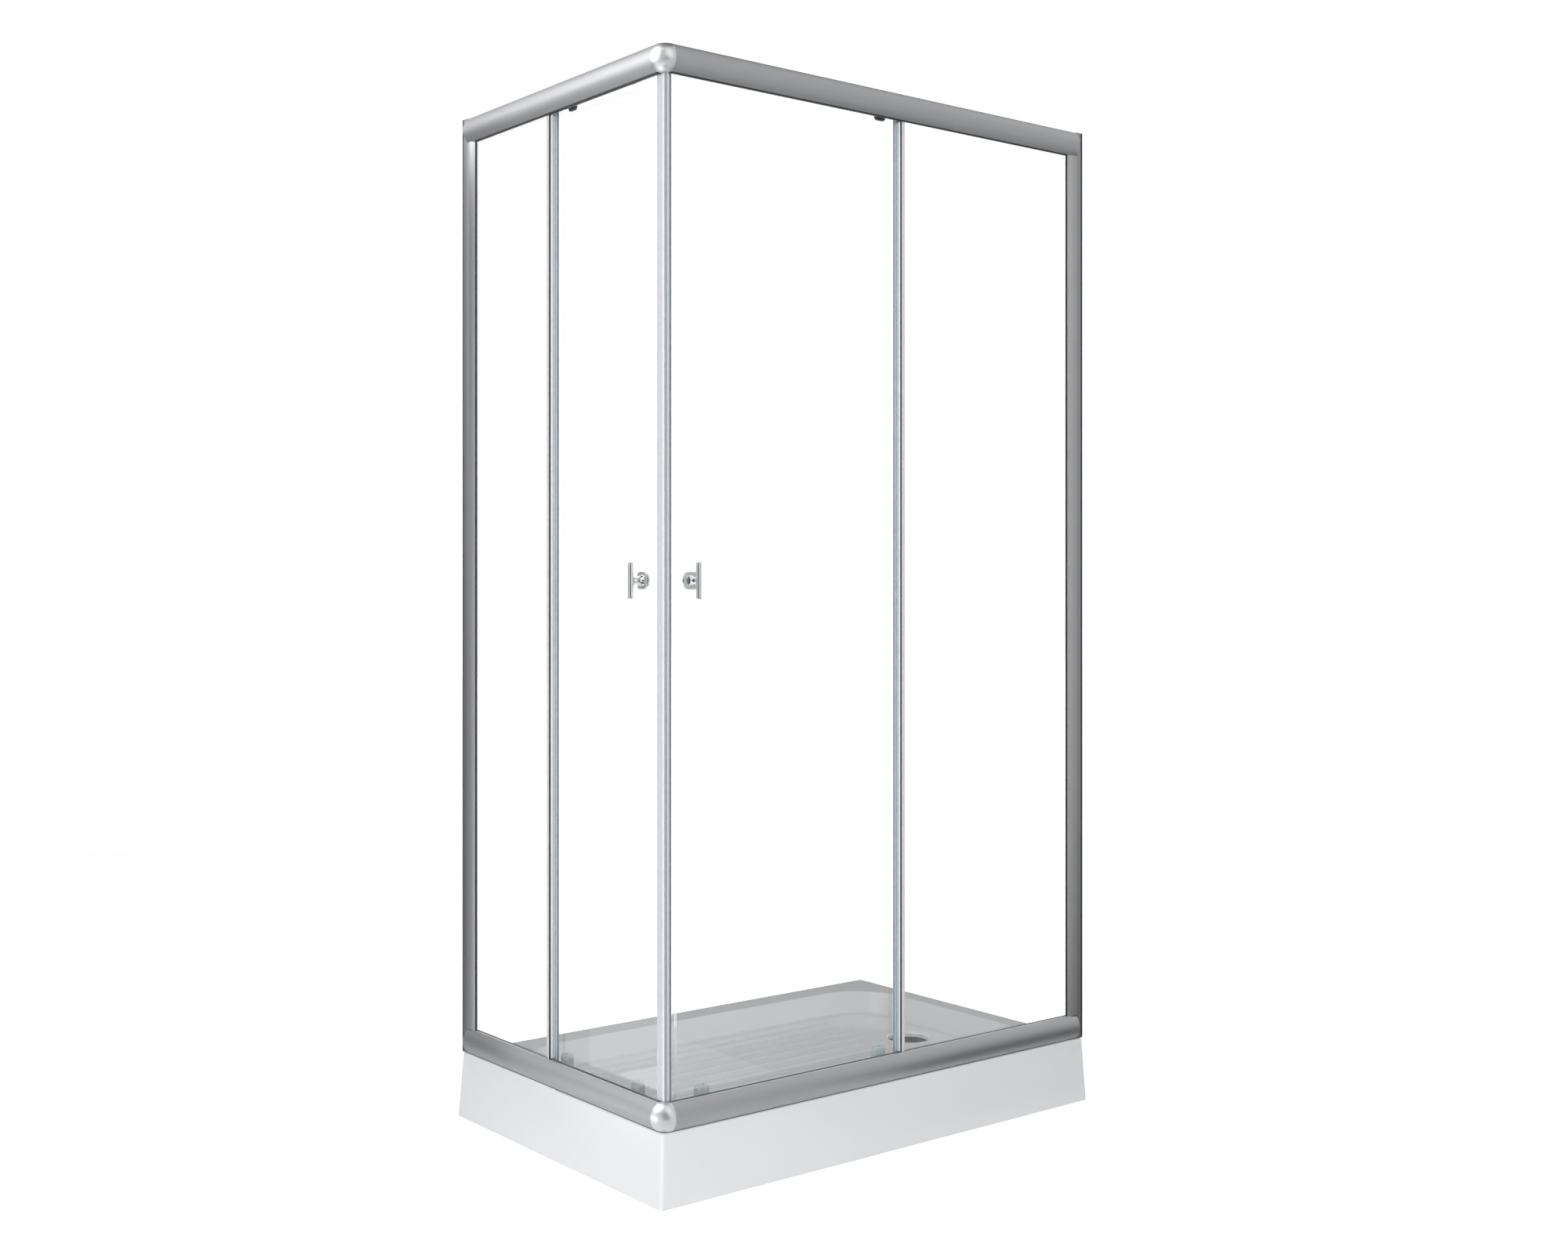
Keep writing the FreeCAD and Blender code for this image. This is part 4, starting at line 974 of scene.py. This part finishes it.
for side in side_place:
    node = side + "_door_magnet_seal"
    low, high = node_box(side, node)
    rail_low = node_box(side, side + "_bottom_rail")[1].z
    rail_high = node_box(side, side + "_top_rail")[0].z
    start = low.y + mitre_gap
    turn = start + head_depth
    for number, (width, shade) in enumerate(head_strips[side]):
        end = start + width * mm
        outline = [(start, low.y), (end, low.y), (end, min(low.y + head_depth, end - mitre_gap))]
        if start < turn < end:
            outline.append((turn, low.y + head_depth))
        if start > low.y + mitre_gap:
            outline.append((start, min(low.y + head_depth, start - mitre_gap)))
        strip(f"{side}_corner_seal_strip_{number + 1}", outline, rail_low + head_clearance,
              rail_high - head_clearance, side, node, seal_finishes[shade])
        start = end
    front = high.y - sleeve_depth
    inner_front, inner_back = front + sleeve_wall, high.y - sleeve_wall
    glass_low, glass_high = node_box(side, side + "_door_glass")
    sleeve = [(front + mitre_gap + 0.9 * mm, front + 0.9 * mm), (high.x, front), (high.x, inner_front),
              (glass_low.x, inner_front), (glass_low.x, inner_back), (high.x, inner_back),
              (high.x, high.y), (high.y + mitre_gap, high.y)]
    strip(side + "_corner_seal_sleeve", sleeve, low.z, high.z, side, node, finishes["clear_strip"])

    node = side + "_door_rear_seal"
    low, high = node_box(side, node)
    inner_front, inner_back = low.y + sleeve_wall, high.y - sleeve_wall
    sleeve = rectangle(low.x, high.x, low.y, high.y)
    sleeve += [(low.x, inner_back), (glass_high.x, inner_back), (glass_high.x, inner_front),
               (low.x, inner_front)]
    strip(side + "_rear_edge_sleeve", sleeve, low.z, high.z, side, node, finishes["edge_profile"])

    node = "fixed_glass_edge_strips"
    # The first strip of the pane's free edge stands away from the corner and is deeper than wide.
    low, high = next((low, high) for low, high in solid_boxes(side, node)
                     if low.x > corner_zone and high.x - low.x < high.y - low.y)
    pane_low, pane_high = node_box(side, side + "_fixed_glass")
    edge = low.x
    front, back = pane_low.y - pane_lap, pane_high.y + pane_lap
    # The black bead at the front of the free edge is a painted shadow, for the deep shade at the lip and the
    # glass edge.
    shadow_bead_end, shadow_bead_back = edge + pane_lap, front + 3.6 * mm
    rib_start, rib_end = edge + 5 * mm, edge + 9.2 * mm
    shadow_bead = rectangle(edge, shadow_bead_end, front, shadow_bead_back)
    sleeve = [(shadow_bead_end, front), (rib_start, front), (rib_start, pane_low.y), (pane_low.x, pane_low.y),
              (pane_low.x, pane_high.y), (high.x, pane_high.y), (high.x, back), (edge, back),
              (edge, shadow_bead_back), (shadow_bead_end, shadow_bead_back)]
    rib = rectangle(rib_start, rib_end, front, pane_low.y)
    lip = rectangle(edge, edge + sleeve_wall, back, high.y)
    for name, outline, shade in (("shadow_bead", shadow_bead, finishes["black_rubber"]),
                                 ("sleeve", sleeve, seal_finishes["white"]),
                                 ("rib", rib, seal_finishes["pale"]), ("lip", lip, finishes["edge_profile"])):
        strip(f"{side}_fixed_edge_{name}", outline, low.z, high.z, side, node, shade,
              ease=0.3 * mm)
print("upright seals drawn")

# %% [markdown]
# Two dark lines frame the aluminium. A rubber strip lies between the bottom rails and the tray, and turns
# the corner on a radius under the elbow. A thin black bead of sealant closes the joint between each
# wall channel and the wall, and it is also the painted shadow line of that joint. The bead is drawn here
# only, because it is laid at fitting and isn't a part.

# %% Base seal and sealant
seal_low, seal_high = node_box("long", "frame_base_seals")
seal_back = 49.4 * mm
elbow_centre = 34 * mm
seal_outline = quarter(elbow_centre, elbow_centre, elbow_centre - seal_low.x, 180, 10)
seal_outline += [(seal_high.x, seal_low.y), (seal_high.x, seal_back), (seal_back, seal_back),
                 (seal_back, seal_high.y), (seal_low.x, seal_high.y)]
base_seal = bmesh.new()
pushed(base_seal, seal_outline, upright(0, 0, seal_low.z), seal_high.z - seal_low.z)
piece("base_seal_strip", base_seal, "long", "frame_base_seals", smooth=20)
for side in side_place:
    node = side + "_wall_channel"
    low, high = node_box(side, node)
    # A black bead: sealant, and the painted shadow line along the wall.
    shadow_bead = rectangle(high.x - 4.5 * mm, high.x, low.y - 0.45 * mm, low.y + 0.4 * mm)
    strip(side + "_wall_sealant_and_shadow_line", shadow_bead, low.z, high.z, side, node, finishes["black_rubber"],
          replaces=False)
print("base seal and sealant drawn")

# %% [markdown]
# The studio is a pale floor in a white room. The world is pure white to the camera, to reflections and
# through glass, and a softer cool white for everything that lights the object, so that pale surfaces
# keep their shape. The floor shines a little to the camera for the same reason: it stays nearly white
# and still takes the soft shadow of the tray. Under the tray its glow is turned down, a painted shadow
# that makes the drain hole grey.

# %% World and floor
def seen_rays(tree):
    """One for the rays that show the backdrop, and zero for those that light the object."""
    ray = add(tree, "LightPath")
    bent = calculated(tree, "MAXIMUM", ray["Is Glossy Ray"], ray["Is Transmission Ray"])
    return calculated(tree, "MAXIMUM", ray["Is Camera Ray"], bent)


backdrop_level = 1.14
horizon_level, ceiling_level = 0.62, 0.22
world = bpy.data.worlds.new("studio")
world.use_nodes = True
scene.world = world
sky = world.node_tree
ambient = sky.nodes["Background"]
ambient.inputs["Color"].default_value = (0.975, 0.985, 1, 1)
direction = add(sky, "SeparateXYZ", Vector=add(sky, "TexCoord")["Generated"])
feed(sky, ambient.inputs["Strength"], spread(sky, direction["Z"], horizon_level, ceiling_level, (0, 1)))
backdrop = add(sky, "Background", Color=(1, 1, 1, 1), Strength=backdrop_level)
show_mixed(sky, seen_rays(sky), ambient.outputs["Background"], backdrop["Background"], "World Output")


def plane(name, width, height, material):
    mesh = bpy.data.meshes.new(name)
    corners = [(x, y, 0) for x, y in rectangle(-width / 2, width / 2, -height / 2, height / 2)]
    mesh.from_pydata(corners, [], [(0, 1, 2, 3)])
    obj = bpy.data.objects.new(name, mesh)
    scene.collection.objects.link(obj)
    cover(obj, material)
    return obj


floor_size = 30
floor_level = 1.42
direct_share = 0.6
through_share = 0.9
# The share of the floor's glow under the tray, a painted shadow.
painted_shadow_share = 0.2
inside_skirt = 50 * mm


def glow_with_painted_tray_shadow(tree):
    """One on the floor outside the tray, and less under it: a painted shadow, which the drain hole shows."""
    place = add(tree, "SeparateXYZ", Vector=add(tree, "TexCoord")["Object"])
    outside = []
    for axis, reach in (("X", tray_high.x), ("Y", tray_high.y)):
        distance = calculated(tree, "ABSOLUTE", place[axis])
        outside.append(calculated(tree, "GREATER_THAN", distance, reach - inside_skirt))
    return spread(tree, calculated(tree, "MAXIMUM", *outside), painted_shadow_share, 1, (0, 1))


def pale_floor():
    material, tree, shader = new_material("pale_floor", (0.9, 0.9, 0.9), 0.7)
    vary_colour(tree, shader, noise(tree, 3, detail=2), (0.9, 0.9, 0.9), (0.93, 0.93, 0.93))
    glow = add(tree, "Emission", Strength=floor_level)
    ray = add(tree, "LightPath")
    through = calculated(tree, "MULTIPLY", ray["Is Transmission Ray"], through_share)
    shown = calculated(tree, "MULTIPLY_ADD", ray["Is Camera Ray"], direct_share, through)
    share = calculated(tree, "MULTIPLY", shown, glow_with_painted_tray_shadow(tree))
    show_mixed(tree, share, shader.outputs["BSDF"], glow["Emission"])
    return material


plane("floor", floor_size, floor_size, pale_floor())
print("world and floor")

# %% [markdown]
# Bright metal only shows what stands round it. In the photograph the rails of the left side are pale
# near the corner and darker towards the wall, those of the right side are an even middle grey, and the
# elbows have a soft grey shape between two highlights. Plain cards, seen only in reflections, do this as
# in a real studio: a bright one high on the left and one on the floor below it pale the left rails, a
# black one beside the wall keeps the left jamb dark, grey ones stand on the right, and a dark strip
# behind the camera draws the dark line on the chrome. Three soft lamps light the white tray and show
# in no reflection.

# %% Cards and lamps
blue_share = 1.02
card_hidden = ("camera", "diffuse", "transmission", "volume_scatter", "shadow")
lamp_hidden = ("camera", "glossy", "transmission")


def hide_from(obj, rays):
    for ray in rays:
        setattr(obj, "visible_" + ray, False)


def card(name, centre, width, height, level, target=None):
    """A card seen only in reflections. Without a target it stands upright and faces the object."""
    material = bpy.data.materials.new(name)
    material.use_nodes = True
    tree = material.node_tree
    tree.nodes.remove(tree.nodes["Principled BSDF"])
    glow = add(tree, "Emission", Color=(level, level, level * blue_share, 1))
    tree.links.new(glow["Emission"], tree.nodes["Material Output"].inputs["Surface"])
    obj = plane(name, width, height, material)
    towards = Vector(target or (0, 0, centre[2])) - Vector(centre)
    obj.rotation_euler = towards.to_track_quat("Z", "Y").to_euler()
    obj.location = centre
    hide_from(obj, card_hidden)


def lamp(name, centre, target, size, power):
    """A soft rectangular lamp that faces a target."""
    light = bpy.data.lights.new(name, "AREA")
    light.shape = "RECTANGLE"
    light.size, light.size_y = size
    light.energy = power
    obj = bpy.data.objects.new(name, light)
    obj.location = centre
    obj.rotation_euler = (Vector(target) - Vector(centre)).to_track_quat("-Z", "Y").to_euler()
    hide_from(obj, lamp_hidden)
    scene.collection.objects.link(obj)


card("right_card", (2.6, -3.6, 4.5), 5.2, 11, 0.50)
card("right_floor_card", (1.15, -1.2, 0.01), 2.0, 1.5, 0.02, target=(1.15, -1.2, 5))
card("far_left_card", (-2.0, 3.6, 3.5), 4.6, 10, 0.25)
card("high_left_card", (-2.9, 0.6, 3.5), 1.7, 3.0, 6.8)
card("near_left_card", (-0.875, 0.89, 1.04), 1.245, 2.08, 0.08, target=(0.105, 1.09, 1.04))
card("left_floor_card", (-1.5, 0.0, 0.01), 1.2, 0.8, 2.1, target=(-1.5, 0.0, 5))
card("corner_floor_card", (-1.2, -1.35, 0.012), 1.2, 1.2, 0.02, target=(-1.2, -1.35, 5))
card("side_card", (-5.0, -0.75, 4.0), 3.3, 9, 0.46)
card("camera_card", (-3.9, -3.4, 4.0), 2.7, 9, 0.34)
card("dark_strip", (-2.3, -3.9, 1.2), 1.9, 2.4, 0.03)
card("back_card", (2.3, 2.8, 5.0), 8, 12, 0.08)
card("ceiling_card", (-0.2, -0.2, 5.6), 3.2, 3.2, 0.03, target=(-0.2, -0.2, 0))
lamp("left_lamp", (-3.0, -0.85, 1.45), (-0.3, -0.25, 0.4), (1.9, 2.4), 35)
lamp("front_lamp", (-1.9, -4.1, 1.9), (-0.2, -0.2, 0.3), (3.0, 2.0), 66)
lamp("top_lamp", (0.2, -0.2, 4.6), (0, 0, 0), (3.0, 3.0), 10)
print("cards and lamps placed")
